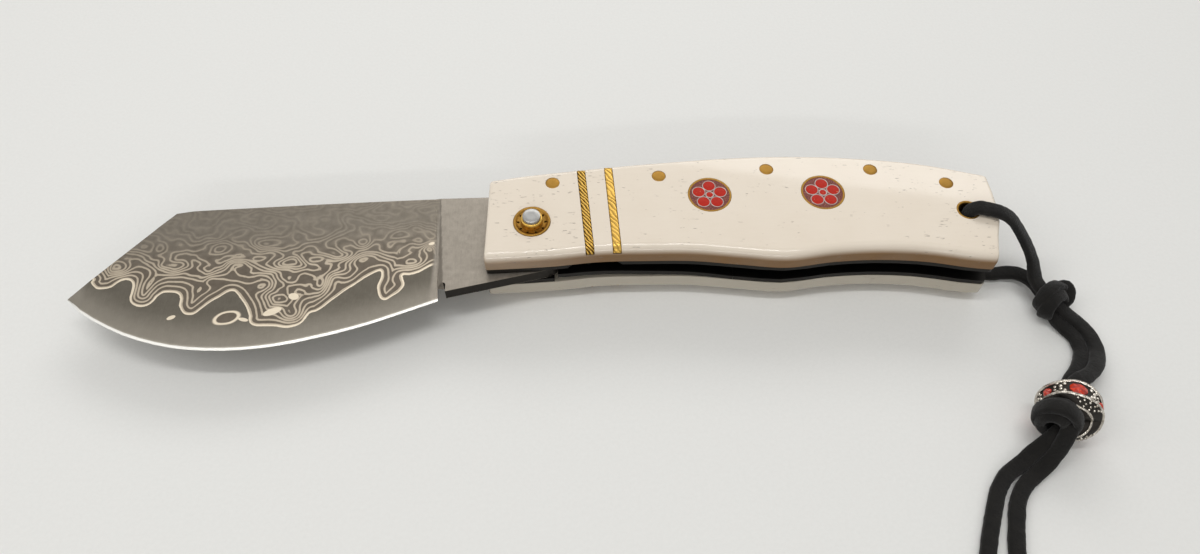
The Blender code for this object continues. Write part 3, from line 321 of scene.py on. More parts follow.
def work(piece, kind, **settings):
    """Put one modifier on a piece and apply it."""
    take(piece)
    modifier = piece.modifiers.new(kind.lower(), kind)
    for name, value in settings.items():
        setattr(modifier, name, value)
    bpy.ops.object.modifier_apply(modifier=modifier.name)


def settle(piece, look, slot, *stands_for, body="handle", crease=30):
    """Give a finished piece its material and its part in the frame."""
    take(piece)
    bpy.ops.object.transform_apply(location=True, rotation=True, scale=True)
    bpy.ops.object.shade_smooth_by_angle(angle=math.radians(crease))
    piece.data.materials.clear()
    piece.data.materials.append(look.material)
    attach(piece, body)
    if stands_for:
        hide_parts(*stands_for)
    return piece


def spaced(points, step):
    """Evenly spaced places along a broken line."""
    lengths = [0.0]
    for first, second in zip(points, points[1:]):
        lengths.append(lengths[-1] + (second - first).length)
    count = round(lengths[-1] / step)
    places, i = [], 0
    for k in range(count + 1):
        target = lengths[-1] * k / count
        while i < len(points) - 2 and lengths[i + 1] < target:
            i += 1
        share = (target - lengths[i]) / (lengths[i + 1] - lengths[i])
        places.append(points[i].lerp(points[i + 1], min(share, 1.0)))
    return places


CURVE_STEPS = 32


def smooth_route(points, step):
    """Evenly spaced places on the smooth curve through a route's points."""
    points = [Vector(point) for point in points]
    fine = []
    for i in range(len(points) - 1):
        before, after = points[max(i - 1, 0)], points[min(i + 2, len(points) - 1)]
        here, there = points[i], points[i + 1]
        for k in range(CURVE_STEPS):
            t = k / CURVE_STEPS
            fine.append(0.5 * (
                2 * here + (there - before) * t
                + (2 * before - 5 * here + 4 * there - after) * t ** 2
                + (3 * here - before - 3 * there + after) * t ** 3
            ))
    return spaced([*fine, points[-1]], step)


edge_route = smooth_route([(*point, 0.0) for point in PATTERN_EDGE], EDGE_STEP)
edge_places = kdtree.KDTree(len(edge_route))
for i, place in enumerate(edge_route):
    edge_places.insert(place, i)
edge_places.balance()


def oval(x, y, centre_x, centre_y, length, width, turn_deg):
    """How far inside an oval a place is: 1 at its middle and 0 on its line."""
    turn = math.radians(turn_deg)
    aside, above = x - centre_x, y - centre_y
    along = (aside * math.cos(turn) + above * math.sin(turn)) / length
    across = (above * math.cos(turn) - aside * math.sin(turn)) / width
    return 1 - math.hypot(along, across)


def layer_at(x, y, face):
    """How many layers lie bare between the plain edge and a place on one face of the blade."""
    swayed = (x / SWAY_LENGTH, y / SWAY_LENGTH)
    place = Vector((x, y, 0)) + SWAY * Vector((
        noise.noise((*swayed, 4.2 + face)), noise.noise((*swayed, 6.4 + face)), 0
    ))
    nearest, i, away = edge_places.find(place)
    ahead = edge_route[min(i + 1, len(edge_route) - 1)] - edge_route[max(i - 1, 0)]
    if ahead.cross(place - nearest).z < 0:
        away = -away
    layers = min(away, NEAR_BAND) / NEAR_LAYER + max(away - NEAR_BAND, 0) / FAR_LAYER
    deep = min(1.0, max(0.0, (away - 1.8) / 5.0))
    for length, height, seed, lifted in SWELLS:
        layers += noise.noise((x / length, y / height, seed + face)) * lifted * deep
    past_edge = min(1.0, max(0.0, (away + 0.2) / 1.2))
    for *mark, lifted in HAMMER_MARKS:
        inside = oval(place.x, place.y, *mark)
        if inside > -2:
            layers += 0.8 * lifted * past_edge * math.exp(-(1 - inside) ** 2)
    return max(layers, oval(place.x, place.y, *ISLAND) * 0.3)


# the CAD plate is merged, its plunge is leant back, its spine is broken and its sides are gridded
blade_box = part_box("blade")
middle = (blade_box[0].z + blade_box[1].z) / 2
blade = placed("blade_ground", nodes["blade"].data.copy())
take(blade)
bpy.ops.object.mode_set(mode="EDIT")
bpy.ops.mesh.select_all(action="SELECT")
bpy.ops.mesh.remove_doubles(threshold=MERGE)
bpy.ops.mesh.dissolve_limited(angle_limit=math.radians(0.5))
plate = bmesh.from_edit_mesh(blade.data)
for vertex in plate.verts:
    if abs(vertex.co.x - PLUNGE_FOOT[0]) < 0.05 * MM and vertex.co.y > PLUNGE_FOOT[1]:
        share = (vertex.co.y - PLUNGE_FOOT[1]) / (PLUNGE_HEAD[1] - PLUNGE_FOOT[1])
        vertex.co.x += (PLUNGE_HEAD[0] - PLUNGE_FOOT[0]) * min(share, 1.0)
for edge in plate.edges:
    edge.select = False
for edge in plate.edges:
    place = (edge.verts[0].co + edge.verts[1].co) / 2
    sharp = edge.is_manifold and edge.calc_face_angle() > math.radians(50)
    lengthwise = abs(edge.verts[0].co.z - edge.verts[1].co.z) < 0.6 * MM
    if sharp and lengthwise and abs(place.z - middle) > 0.5 * MM and place.y > 0:
        edge.select = True
bmesh.update_edit_mesh(blade.data)
bpy.ops.mesh.bevel(offset=SPINE_BREAK, segments=3, affect="EDGES")
bpy.ops.object.mode_set(mode="OBJECT")
plate = bmesh.new()
plate.from_mesh(blade.data)
for vertex in plate.verts:
    if vertex.co.x > PLUNGE_FOOT[0] and abs(abs(vertex.co.z - middle) - PLATE_HALF) < 0.02 * MM:
        vertex.co.z = middle + math.copysign(PLATE_HALF, vertex.co.z - middle)
cuts = [((blade_box[0].x + GROUND_STEP * k, 0, 0), (1, 0, 0)) for k in GROUND_CUTS]
cuts += [((blade_box[0].x + TANG_STEP * k, 0, 0), (1, 0, 0)) for k in TANG_CUTS]
cuts += [((0, blade_box[0].y + GROUND_STEP * k, 0), (0, 1, 0)) for k in HEIGHT_CUTS]
for place, facing in cuts:
    bmesh.ops.bisect_plane(
        plate, geom=plate.verts[:] + plate.edges[:] + plate.faces[:], plane_co=place, plane_no=facing
    )
plate.to_mesh(blade.data)
plate.free()

# each point of the grid is told how many layers lie bare there, and how steeply that changes
honed_corners = set()
for face in blade.data.polygons:
    steep_enough = HONED_SLOPE[0] < abs(face.normal.z) < HONED_SLOPE[1]
    if steep_enough and face.center.x < HONED_END and face.center.y < 0:
        honed_corners.update(face.vertices)
counted = {name: [0.0] * len(blade.data.vertices) for name in ("layers", "bare", "honed", "steep")}
for i, vertex in enumerate(blade.data.vertices):
    x, y = vertex.co.x / MM, vertex.co.y / MM
    face = UPPER_SEED if vertex.co.z > middle else LOWER_SEED
    counted["layers"][i] = layer_at(x, y, face)
    counted["bare"][i] = max(oval(x, y, *spot) for spot in BARE_SPOTS)
    if i in honed_corners:
        counted["honed"][i] = 1.4 - abs(vertex.co.z - middle) / EDGE_HALF
for edge in blade.data.edges:
    ends = edge.vertices
    span = (blade.data.vertices[ends[0]].co - blade.data.vertices[ends[1]].co).length / MM
    if span > 0.05:
        slope = abs(counted["layers"][ends[0]] - counted["layers"][ends[1]]) / span
        for i in ends:
            counted["steep"][i] = max(counted["steep"][i], slope)
for name, values in counted.items():
    blade.data.attributes.new(name, "FLOAT", "POINT").data.foreach_set("value", values)

# pale lines part the layers: sharp near the plain edge, and hazy towards the spine
patterned = Finish("patterned_steel", Metallic=1.0)
depth = patterned.value_of("layers")
steep = patterned.value_of("steep").most(0.22)
east = patterned.coordinate(0)
far = (patterned.coordinate(1) - east * 0.05).rise(-6.5, 8.0)
ground = 1 - east.rise(-22.6, -21.4)
welded = depth.rise(-0.03, 0.04) * ground
fine = patterned.noise(0.8 * MM, 2.0)
cycle = (depth + (fine - 0.5) * 0.10) % 1.0
line = 1 - (abs(cycle - 0.42) / steep).rise(0.12, 0.30)
soft = cycle.rise(0.0, 0.42) * (1 - cycle.rise(0.42, 1.0))
line = line * (1 - far * 0.8) + soft * far * 0.8
rim = welded * (1 - (depth / steep).rise(0.34, 0.50))
bare = patterned.value_of("bare").rise(-0.06, 0.10) * ground
mottle = patterned.noise(2.0 * MM, 6.0, 0.7)
scratches = patterned.noise(0.10 * MM, 3.0, 0.7, stretch=(1, 22, 1))
from_middle = abs(patterned.coordinate(2) - middle / MM)
honed = patterned.value_of("honed").rise(0.66, 0.88)
near_edge = 1 - from_middle.rise(0.20, 0.50)
# the plate's side walls behind the plunge are painted dark as shade
painted_wall_shade = (1 - from_middle.rise(1.33, 1.38)) * east.rise(-19.4, -19.3)
plain = patterned.mix(
    mottle * 0.25 + scratches * 0.25 + near_edge * 0.5, paint(74, 69, 60), paint(146, 140, 129)
)
dark = patterned.mix(mottle, paint(80, 72, 62), paint(118, 109, 98))
light = patterned.mix(mottle, paint(164, 151, 133), paint(200, 187, 166))
contour = patterned.mix(line * (1 - far * 0.6), dark, light)
haze = patterned.mix(mottle, paint(96, 91, 82), paint(142, 135, 124))
contour = patterned.mix(far * 0.72, contour, haze)
contour = patterned.mix((rim + bare) * 0.92, contour, paint(222, 209, 187))
ricasso = patterned.mix(
    mottle * 0.6 + scratches * 0.4, paint(96, 90, 81), paint(172, 164, 152)
)
ricasso = patterned.mix(painted_wall_shade, ricasso, paint(46, 43, 39))
steel = patterned.mix(welded.most(bare), plain, contour)
steel = patterned.mix(ground, ricasso, steel)
patterned.put(
    Base_Color=patterned.mix(honed, steel, paint(196, 194, 188)),
    Roughness=0.40 + scratches * 0.12 - line * welded * 0.06 - honed * 0.10,
)
patterned.emboss((line * welded * (1 - far) + rim) * 0.010 + scratches * 0.003 + mottle * 0.016)
settle(blade, patterned, "patterned_steel", "blade", body="blade", crease=25)


# Liners, washers, backspacer and lock arm
# Two dark steel plates with a steel spacer between them under the spine. The lower one is slit, so
# that a strip of it springs up behind the tang. Bronze washers keep the blade off the plates.
EDGE_BREAK = 0.12 * MM


def brushed(name, low, high, roughness, marks=0.006):
    """Bare steel, with fine scratches along its length and a little stain."""
    steel = Finish(name, Metallic=1.0)
    lines = steel.noise(0.09 * MM, 4.0, 0.65, stretch=(18, 1, 1))
    stain = steel.noise(3.0 * MM, 5.0, 0.6)
    steel.put(
        Base_Color=steel.mix(lines * 0.5 + stain * 0.5, low, high),
        Roughness=lines * 0.14 + stain * 0.10 + (roughness - 0.12),
    )
    steel.emboss(lines * marks)
    return steel


def keep(node_name, look):
    """Dress a CAD solid as it is: its edges broken, and a finish on it."""
    solid = nodes[node_name]
    solid.modifiers.new("join", "WELD").merge_threshold = MERGE
    edges = solid.modifiers.new("edges", "BEVEL")
    edges.width, edges.segments, edges.limit_method = EDGE_BREAK, 2, "ANGLE"
    edges.angle_limit = math.radians(50)
    solid.modifiers.new("shade", "WEIGHTED_NORMAL").keep_sharp = True
    solid.data.materials.clear()
    solid.data.materials.append(look.material)


liner_steel = brushed("liner_steel", paint(30, 29, 28), paint(56, 54, 51), 0.42)
bronze = brushed("bronze", paint(128, 86, 44), paint(168, 118, 64), 0.42)
for node_name in ("upper_liner", "lower_liner", "backspacer", "lock_arm"):
    keep(node_name, liner_steel)
for node_name in ("upper_washer", "lower_washer"):
    keep(node_name, bronze)


# Scales
# Two plates of polished bone. The upper one is rounded over broadly at the belly, where the hand
# closes round it, and its sawn side is left tan under the polish, with painted shade darkening it.
MIDDLE = 9.45 * MM
HANDLE_LENGTH = 114.5 * MM
HANDLE_DEPTH = 30.1 * MM
PIVOT_FROM_FRONT = 10.1 * MM
PIVOT_ABOVE_BELLY = 10.2 * MM
SCALE_INNER = 3.0 * MM
SCALE_OUTER = 7.25 * MM
SIDES = ((1, "upper"), (-1, "lower"))
BELLY_ROUNDING = {1: 2.3 * MM, -1: 1.2 * MM}
SPINE_ROUNDING = 1.2 * MM
END_ROUNDING = 0.8 * MM
SPINE_LINE = (
    (0.0, 0.745), (0.065, 0.794), (0.132, 0.832), (0.22, 0.877), (0.307, 0.918), (0.481, 0.982),
    (0.612, 1.0), (0.743, 0.980), (0.874, 0.920), (1.0, 0.803),
)
BELLY_LINE = (
    (0.0, 0.0), (0.129, 0.033), (0.219, 0.073), (0.307, 0.083), (0.399, 0.083), (0.49, 0.050),
    (0.579, 0.023), (0.669, 0.073), (0.758, 0.093), (0.848, 0.076), (0.938, 0.0195), (1.0, 0.0),
)
BUTT_LINE = ((0.0, 0.977), (0.2, 0.984), (0.41, 0.998), (0.61, 1.003), (0.8, 1.003), (1.0, 1.0))
STOP_PIN = (4.3 * MM, 11.2 * MM)
SCALE_PINS = (
    (28.66 * MM, 13.31 * MM), (53.68 * MM, 15.39 * MM), (77.78 * MM, 15.32 * MM),
    (94.55 * MM, 11.30 * MM),
)
TUBE_HOLE = (97.80 * MM, 3.37 * MM)
MOSAICS = ((39.99 * MM, 7.80 * MM), (65.81 * MM, 8.49 * MM))
PIVOT_HOLE = 2.1 * MM
PIN_RADIUS = 1.6 * MM
TUBE_RADIUS = 2.6 * MM
MOSAIC_RADIUS = 4.95 * MM
ROSETTE_RADIUS = 4.15 * MM
ROSETTE_SEAT = 0.8 * MM
HAIR = 0.03 * MM
# how many faces the grid over a scale has round its edges, across its flat and along it
END_STEPS, ARC_STEPS, FLAT_STEPS, LENGTH_STEPS = 6, 9, 5, 120


def smooth_line(shares):
    """The smooth curve through a table, as a function of its first column."""
    last = len(shares) - 1
    slopes = []
    for i in range(len(shares)):
        before, after = shares[max(i - 1, 0)], shares[min(i + 1, last)]
        slopes.append((after[1] - before[1]) / (after[0] - before[0]))

    def height(x):
        x = min(max(x, shares[0][0]), shares[last][0])
        i = max(k for k in range(last) if shares[k][0] <= x)
        run = shares[i + 1][0] - shares[i][0]
        t = (x - shares[i][0]) / run
        ease = t * t * (3 - 2 * t)
        bend = slopes[i] * (1 - t) - slopes[i + 1] * t
        return shares[i][1] * (1 - ease) + shares[i + 1][1] * ease + run * t * (1 - t) * bend

    return height


spine_line, belly_line, butt_line = (smooth_line(t) for t in (SPINE_LINE, BELLY_LINE, BUTT_LINE))


def spine_at(x):
    return HANDLE_DEPTH * spine_line((x + PIVOT_FROM_FRONT) / HANDLE_LENGTH) - PIVOT_ABOVE_BELLY


def belly_at(x):
    return HANDLE_DEPTH * belly_line((x + PIVOT_FROM_FRONT) / HANDLE_LENGTH) - PIVOT_ABOVE_BELLY


def over_face(side, width, sunk, end_deg=0.0):
    """Points over a scale's face from belly to spine: how far across, and how high."""
    belly, points = BELLY_ROUNDING[side], []
    for step in range(ARC_STEPS + 1):
        turn = math.radians(end_deg + (90 - end_deg) * step / ARC_STEPS)
        points.append((
            belly - (belly - sunk) * math.cos(turn),
            SCALE_OUTER - belly + (belly - sunk) * math.sin(turn),
        ))
    flat = width - belly - SPINE_ROUNDING
    points += [(belly + flat * k / FLAT_STEPS, SCALE_OUTER - sunk) for k in range(1, FLAT_STEPS)]
    for step in range(ARC_STEPS + 1):
        turn = math.radians(90 - (90 - end_deg) * step / ARC_STEPS)
        points.append((
            width - SPINE_ROUNDING + (SPINE_ROUNDING - sunk) * math.cos(turn),
            SCALE_OUTER - SPINE_ROUNDING + (SPINE_ROUNDING - sunk) * math.sin(turn),
        ))
    return points


def gone_with(cutter, piece):
    """Cut a shape out of a piece, and throw the shape away."""
    work(piece, "BOOLEAN", operation="DIFFERENCE", solver="EXACT", object=cutter)
    bpy.data.objects.remove(cutter)


def drill(piece, place, radius, low, high, sides):
    """Drill one upright hole."""
    bit = added(
        "drill", bpy.ops.mesh.primitive_cylinder_add,
        vertices=sides, radius=radius, depth=high - low, location=(*place, (low + high) / 2),
    )
    gone_with(bit, piece)


def face_out(piece):
    """Turn all faces of a piece outwards."""
    take(piece)
    bpy.ops.object.mode_set(mode="EDIT")
    bpy.ops.mesh.select_all(action="SELECT")
    bpy.ops.mesh.normals_make_consistent(inside=False)
    bpy.ops.object.mode_set(mode="OBJECT")


bone = Finish("polished_bone", Coat_Roughness=0.05, Specular_IOR_Level=0.3)
height = bone.coordinate(2)
from_pivot = bone.coordinate(0)
# the upper scale's side under the belly rounding is tan, painted darker still as shade, a little
# less towards the front
shaded_tan_wall = (1 - height.rise(14.6, 16.5)) * height.rise(9.0, 12.0)
shaded_tan_wall = shaded_tan_wall * (from_pivot.rise(-12.0, 22.0) * 0.2 + 0.8)
# the lower scale's side is painted grey as shade
shaded_low_wall = height.rise(2.4, 3.4) * (1 - height.rise(6.5, 7.0))
cloud = bone.noise(9.0 * MM, 4.0, 0.55)
grain = bone.noise(0.5 * MM, 4.0, 0.6, stretch=(9, 1, 1))
crowded = (1 - from_pivot.rise(4.0, 24.0)) * 0.06 + from_pivot.rise(70.0, 95.0) * 0.05
pores = (bone.noise(0.30 * MM, 1.0, 0.5, stretch=(5, 1, 1)) + crowded * 0.3).rise(0.69, 0.74)
pores = pores * (bone.noise(4.0 * MM, 2.0) + crowded).rise(0.50, 0.60)
tan = bone.mix(cloud * 0.5 + grain * 0.5, paint(92, 61, 20), paint(134, 94, 40))
ivory = bone.mix(cloud * 0.7 + grain * 0.3, paint(222, 209, 190), paint(233, 222, 206))
ivory = bone.mix(shaded_tan_wall * (0.88 + 0.12 * cloud), ivory, tan)
ivory = bone.mix(shaded_low_wall * 0.8, ivory, paint(168, 161, 146))
bone.put(
    Base_Color=bone.mix(pores * 0.65, ivory, paint(132, 122, 110)),
    Roughness=grain * 0.10 + pores * 0.3 + shaded_tan_wall * 0.15 + 0.20,
    Coat_Weight=0.8 - shaded_tan_wall * 0.75,
)
bone.emboss(grain * 0.010 - pores * 0.05)


def carve_scale(side, word):
    """One scale: a grid laid over the rounded face, drawn down to the liner and drilled."""
    stations = []
    for k in range(END_STEPS):
        turn = math.radians(90 * k / END_STEPS)
        stations.append((END_ROUNDING * (1 - math.cos(turn)), END_ROUNDING * (1 - math.sin(turn))))
    butt = [(HANDLE_LENGTH - x, draw) for x, draw in reversed(stations)]
    straight = HANDLE_LENGTH - 2 * END_ROUNDING
    stations += [(END_ROUNDING + straight * k / LENGTH_STEPS, 0.0) for k in range(LENGTH_STEPS + 1)]
    stations += butt
    rows = len(over_face(side, HANDLE_DEPTH, 0.0)) - 1
    columns = len(stations) - 1
    scale = added(
        f"{word}_bone_scale", bpy.ops.mesh.primitive_grid_add,
        x_subdivisions=columns, y_subdivisions=rows, size=1.0,
    )
    for vertex in scale.data.vertices:
        along, draw = stations[round((vertex.co.x + 0.5) * columns)]
        start = along * butt_line(0.0) - PIVOT_FROM_FRONT
        width = spine_at(start) - belly_at(start)
        across, high = over_face(side, width, draw)[round((vertex.co.y + 0.5) * rows)]
        x = along * butt_line(across / width) - PIVOT_FROM_FRONT
        low, width = belly_at(x), (spine_at(x) - belly_at(x)) / width
        vertex.co = (x, low + across * width, MIDDLE + side * high)
    take(scale)
    bpy.ops.object.mode_set(mode="EDIT")
    bpy.ops.mesh.select_all(action="SELECT")
    bpy.ops.mesh.extrude_region_move()
    shell = bmesh.from_edit_mesh(scale.data)
    for vertex in shell.verts:
        if vertex.select:
            vertex.co.z = MIDDLE + side * SCALE_INNER
    bmesh.update_edit_mesh(scale.data)
    bpy.ops.mesh.select_all(action="SELECT")
    bpy.ops.mesh.normals_make_consistent(inside=False)
    bpy.ops.mesh.dissolve_limited(angle_limit=math.radians(0.05))
    bpy.ops.object.mode_set(mode="OBJECT")
    above = MIDDLE + side * (SCALE_OUTER + MM)
    through = sorted((MIDDLE + side * (SCALE_INNER - MM), above))
    seat = sorted((MIDDLE + side * (SCALE_OUTER - ROSETTE_SEAT), above))
    drill(scale, (0, 0), PIVOT_HOLE, *through, 48)
    for place in (STOP_PIN, *SCALE_PINS):
        drill(scale, place, PIN_RADIUS + HAIR, *through, 40)
    drill(scale, TUBE_HOLE, TUBE_RADIUS + HAIR, *through, 48)
    for place in MOSAICS:
        drill(scale, place, MOSAIC_RADIUS + HAIR, *through, 72)
    drill(scale, (0, 0), ROSETTE_RADIUS + HAIR, *seat, 64)
    return scale


scales = {side: carve_scale(side, word) for side, word in SIDES}


# Twisted wire inlays
# Two strands of brass wire twisted together, hammered into a groove across each scale and ground
# flush. The first is still a rope. The second was ground flatter, and only slants are left in it.
# each one's number, where it meets the belly and the spine, and its pitch, hollow and slant
INLAYS = (
    (1, 12.95 * MM, 10.68 * MM, 1.2 * MM, 0.36, -1.1),
    (2, 18.87 * MM, 16.98 * MM, 1.5 * MM, 0.16, -0.8),
)
WORN_INLAY = 2
WIRE_WIDTH = 1.9 * MM
WIRE_DEPTH = 0.85 * MM
WIRE_WALL = 0.5 * MM
WIRE_STEP = 0.085 * MM
WIRE_COLUMNS = 20
NOTCH_WIDTH = 0.18
# the cutter stands above the face, and runs further down the rounded edges than the wire does
CUTTER_RISE = 0.5 * MM
GROOVE_END_DEG, WIRE_END_DEG = 18, 24


def rubbed_brass(name, low, high, roughness):
    """Brass that is dull where it is rubbed, and dark in its grooves."""
    metal = Finish(name, Metallic=1.0)
    rub = metal.noise(0.12 * MM, 4.0, 0.7)
    dull = metal.noise(1.6 * MM, 4.0, 0.6)
    # the brass is painted darker where the mesh marks a groove: the wire's notches and sides, and
    # the rosette's punched dots
    groove_darkening = metal.value_of("groove")
    worn = metal.mix(rub * 0.4 + dull * 0.6, low, high)
    metal.put(
        Base_Color=metal.mix(groove_darkening, worn, paint(44, 30, 13)),
        Roughness=rub * 0.16 + dull * 0.12 + groove_darkening * 0.2 + (roughness - 0.12),
    )
    metal.emboss(rub * 0.010 + dull * 0.016)
    return metal


wire_brass = rubbed_brass("wire_brass", paint(164, 126, 52), paint(224, 184, 96), 0.30)
brass = rubbed_brass("brass", paint(112, 82, 33), paint(168, 128, 60), 0.42)


def inlay_route(side, belly_x, spine_x, sunk, end_deg):
    """The middle line of an inlay over a scale's face."""
    low, span = belly_at(belly_x), spine_at(spine_x) - belly_at(belly_x)
    points = []
    for across, high in over_face(side, span, sunk, end_deg):
        x = belly_x + (spine_x - belly_x) * across / span
        points.append(Vector((x, low + across, MIDDLE + side * high)))
    return points


def cut_groove(side, belly_x, spine_x):
    """Cut the groove of one inlay into a scale."""
    over = inlay_route(side, belly_x, spine_x, -CUTTER_RISE, GROOVE_END_DEG)
    under = inlay_route(side, belly_x, spine_x, WIRE_DEPTH, GROOVE_END_DEG)
    corners, faces = [], []
    for top, bottom in zip(over, under):
        corners += [
            place + Vector((edge * (WIRE_WIDTH / 2 + HAIR), 0, 0))
            for place, edge in ((top, -1), (top, 1), (bottom, 1), (bottom, -1))
        ]
    for row in range(len(over) - 1):
        faces += [
            (4 * row + k, 4 * row + (k + 1) % 4, 4 * row + 4 + (k + 1) % 4, 4 * row + 4 + k)
            for k in range(4)
        ]
    last = 4 * (len(over) - 1)
    faces += [(3, 2, 1, 0), (last, last + 1, last + 2, last + 3)]
    groove = bpy.data.meshes.new("groove")
    groove.from_pydata(corners, [], faces)
    cutter = placed("groove", groove)
    face_out(cutter)
    gone_with(cutter, scales[side])


def lay_wire(side, word, number, belly_x, spine_x, pitch, depth, twist):
    """Lay the twisted wire of one inlay in its groove, with its hollows marked as dark."""
    route = spaced(inlay_route(side, belly_x, spine_x, 0.0, WIRE_END_DEG), WIRE_STEP)
    rows = len(route) - 1
    wire = added(
        f"{word}_twisted_wire_{number}", bpy.ops.mesh.primitive_grid_add,
        x_subdivisions=WIRE_COLUMNS, y_subdivisions=rows, size=1.0,
    )
    dark = wire.data.attributes.new("groove", "FLOAT", "POINT")
    for vertex, spot in zip(wire.data.vertices, dark.data):
        row, across = round((vertex.co.y + 0.5) * rows), 2 * vertex.co.x
        ahead = (route[min(row + 1, rows)] - route[max(row - 1, 0)]).normalized()
        out = Vector((1, 0, 0)).cross(ahead).normalized() * side
        at = row * WIRE_STEP
        wobble = noise.noise((at * 700, belly_x * 3000, side)) * 0.45
        phase = (at / pitch - across * twist + wobble) % 1.0
        notch = math.exp(-(min(phase, 1 - phase) / NOTCH_WIDTH) ** 2)
        fade = 1.0
        if number == WORN_INLAY:
            fade = max(0.5 + 0.6 * noise.noise((at * 260, belly_x * 900, 5.0)), 0.1)
        hollow = abs(2 * phase - 1) ** 2.6
        sunk = (depth * hollow * fade + 0.16 * abs(across) ** 5) * MM
        place = route[row] + Vector((across * WIRE_WIDTH / 2, 0, 0))
        vertex.co = place - out * sunk
        spot.value = min(1.0, 0.9 * notch * fade + 0.3 * abs(across) ** 6)
    work(wire, "SOLIDIFY", thickness=WIRE_WALL, offset=-1.0 * side)
    face_out(wire)
    settle(wire, wire_brass, "brass", f"{word}_inlay_{number}", crease=60)


for side, word in SIDES:
    for number, belly_x, spine_x, *twist in INLAYS:
        cut_groove(side, belly_x, spine_x)
        lay_wire(side, word, number, belly_x, spine_x, *twist)
    settle(scales[side], bone, "bone", f"{word}_scale")
    work(scales[side], "WEIGHTED_NORMAL", keep_sharp=True)


# Pins, rosettes and pivot
# Plain brass pins are riveted through the handle and ground flush. A brass rosette with a ring of
# punched dots is let into each scale round the pivot, and a collar stands in it round the steel pin.
def turned(name, profile, sides, closed=False):
    """A piece spun about Z from a profile of radius and height, in millimetres."""
    mesh = bpy.data.meshes.new(name)
    edges = [(k, k + 1) for k in range(len(profile) - 1)]
    if closed:
        edges.append((len(profile) - 1, 0))
    mesh.from_pydata([(radius * MM, 0, height * MM) for radius, height in profile], edges, [])
    piece = placed(name, mesh)
    take(piece)
    bpy.ops.object.mode_set(mode="EDIT")
    bpy.ops.mesh.select_all(action="SELECT")
    bpy.ops.mesh.spin(steps=sides, angle=math.tau, center=(0, 0, 0), axis=(0, 0, 1))
    bpy.ops.mesh.select_all(action="SELECT")
    bpy.ops.mesh.remove_doubles(threshold=0.002 * MM)
    bpy.ops.mesh.normals_make_consistent(inside=False)
    bpy.ops.object.mode_set(mode="OBJECT")
    return piece


def twin(piece, name):
    """A copy with a mesh of its own."""
    copy = piece.copy()
    copy.data = piece.data.copy()
    copy.name = name
    bpy.context.collection.objects.link(copy)
    return copy


def stand(piece, place, side=1):
    """Put a piece that was made about the middle of the handle in its place."""
    piece.location = (*place, MIDDLE)
    piece.rotation_euler = (0 if side > 0 else math.pi, 0, 0)
    return piece


PIN_PROFILE = (
    (0, -7.25), (1.5, -7.25), (1.6, -7.19), (1.6, 7.19), (1.5, 7.24), (0.8, 7.27), (0, 7.28),
)
PIN_NODES = ("scale_pin_1", "scale_pin_2", "scale_pin_3", "scale_pin_4", "stop_pin")
first_pin = turned("brass_pin_1", PIN_PROFILE, 48)
pins = [first_pin] + [twin(first_pin, f"brass_pin_{k}") for k in range(2, 6)]
for pin, place, node_name in zip(pins, (*SCALE_PINS, STOP_PIN), PIN_NODES):
    settle(stand(pin, place), brass, "brass", node_name)

TUBE_PROFILE = ((2.1, -7.1), (2.25, -7.25), (2.6, -7.25), (2.6, 7.25), (2.25, 7.25), (2.1, 7.1))
tube = turned("brass_lanyard_tube", TUBE_PROFILE, 48, closed=True)
settle(stand(tube, TUBE_HOLE), brass, "brass", "lanyard_tube")

ROSETTE_PROFILE = (
    (2.08, 6.55), (4.15, 6.55), (4.15, 7.36), (4.08, 7.48), (3.9, 7.55), (3.68, 7.52), (3.5, 7.38),
    (3.3, 7.20), (3.0, 7.11), (2.6, 7.06), (2.08, 7.05),
)
COLLAR_PROFILE = (
    (2.02, 7.08), (2.36, 7.08), (2.4, 7.2), (2.4, 8.45), (2.3, 8.6), (2.16, 8.65), (2.02, 8.65),
)
PIVOT_PROFILE = (
    (0, -9.45), (1.75, -9.45), (1.95, -9.38), (2.0, -9.2), (2.0, 9.2), (1.93, 9.37), (1.72, 9.45),
    (0.9, 9.43), (0, 9.42),
)
DOTS, FIRST_DOT_DEG = 10, 182
DOT_RING, DOT_HEIGHT = 2.98 * MM, 7.02 * MM
rosette = turned("upper_brass_rosette", ROSETTE_PROFILE, 72, closed=True)
for k in range(DOTS):
    turn = math.radians(FIRST_DOT_DEG + 360 * k / DOTS)
    punch = added(
        "punch", bpy.ops.mesh.primitive_cone_add,
        vertices=14, radius1=0.14 * MM, radius2=0.38 * MM, depth=0.5 * MM,
        location=(DOT_RING * math.cos(turn), DOT_RING * math.sin(turn), DOT_HEIGHT),
    )
    gone_with(punch, rosette)
# the punched dots are marked to be painted darker
dark = rosette.data.attributes.new("groove", "FLOAT", "POINT")
for vertex, spot in zip(rosette.data.vertices, dark.data):
    reach = math.hypot(vertex.co.x, vertex.co.y)
    spot.value = 1.0 if 6.6 * MM < vertex.co.z < 7.0 * MM and 2.4 * MM < reach < 3.6 * MM else 0.0
collar = turned("upper_brass_collar", COLLAR_PROFILE, 64, closed=True)
for piece, words, finish in ((rosette, "rosette", brass), (collar, "collar", wire_brass)):
    under = twin(piece, f"lower_brass_{words}")
    settle(stand(piece, (0, 0)), finish, "brass", f"upper_{words}", crease=40)
    settle(stand(under, (0, 0), -1), finish, "brass", f"lower_{words}", crease=40)

bright_steel = brushed("bright_steel", paint(128, 127, 124), paint(170, 169, 166), 0.34, 0.0015)
pivot = turned("steel_pivot", PIVOT_PROFILE, 64)
settle(stand(pivot, (0, 0)), bright_steel, "bright_steel", "pivot_pin", crease=40)


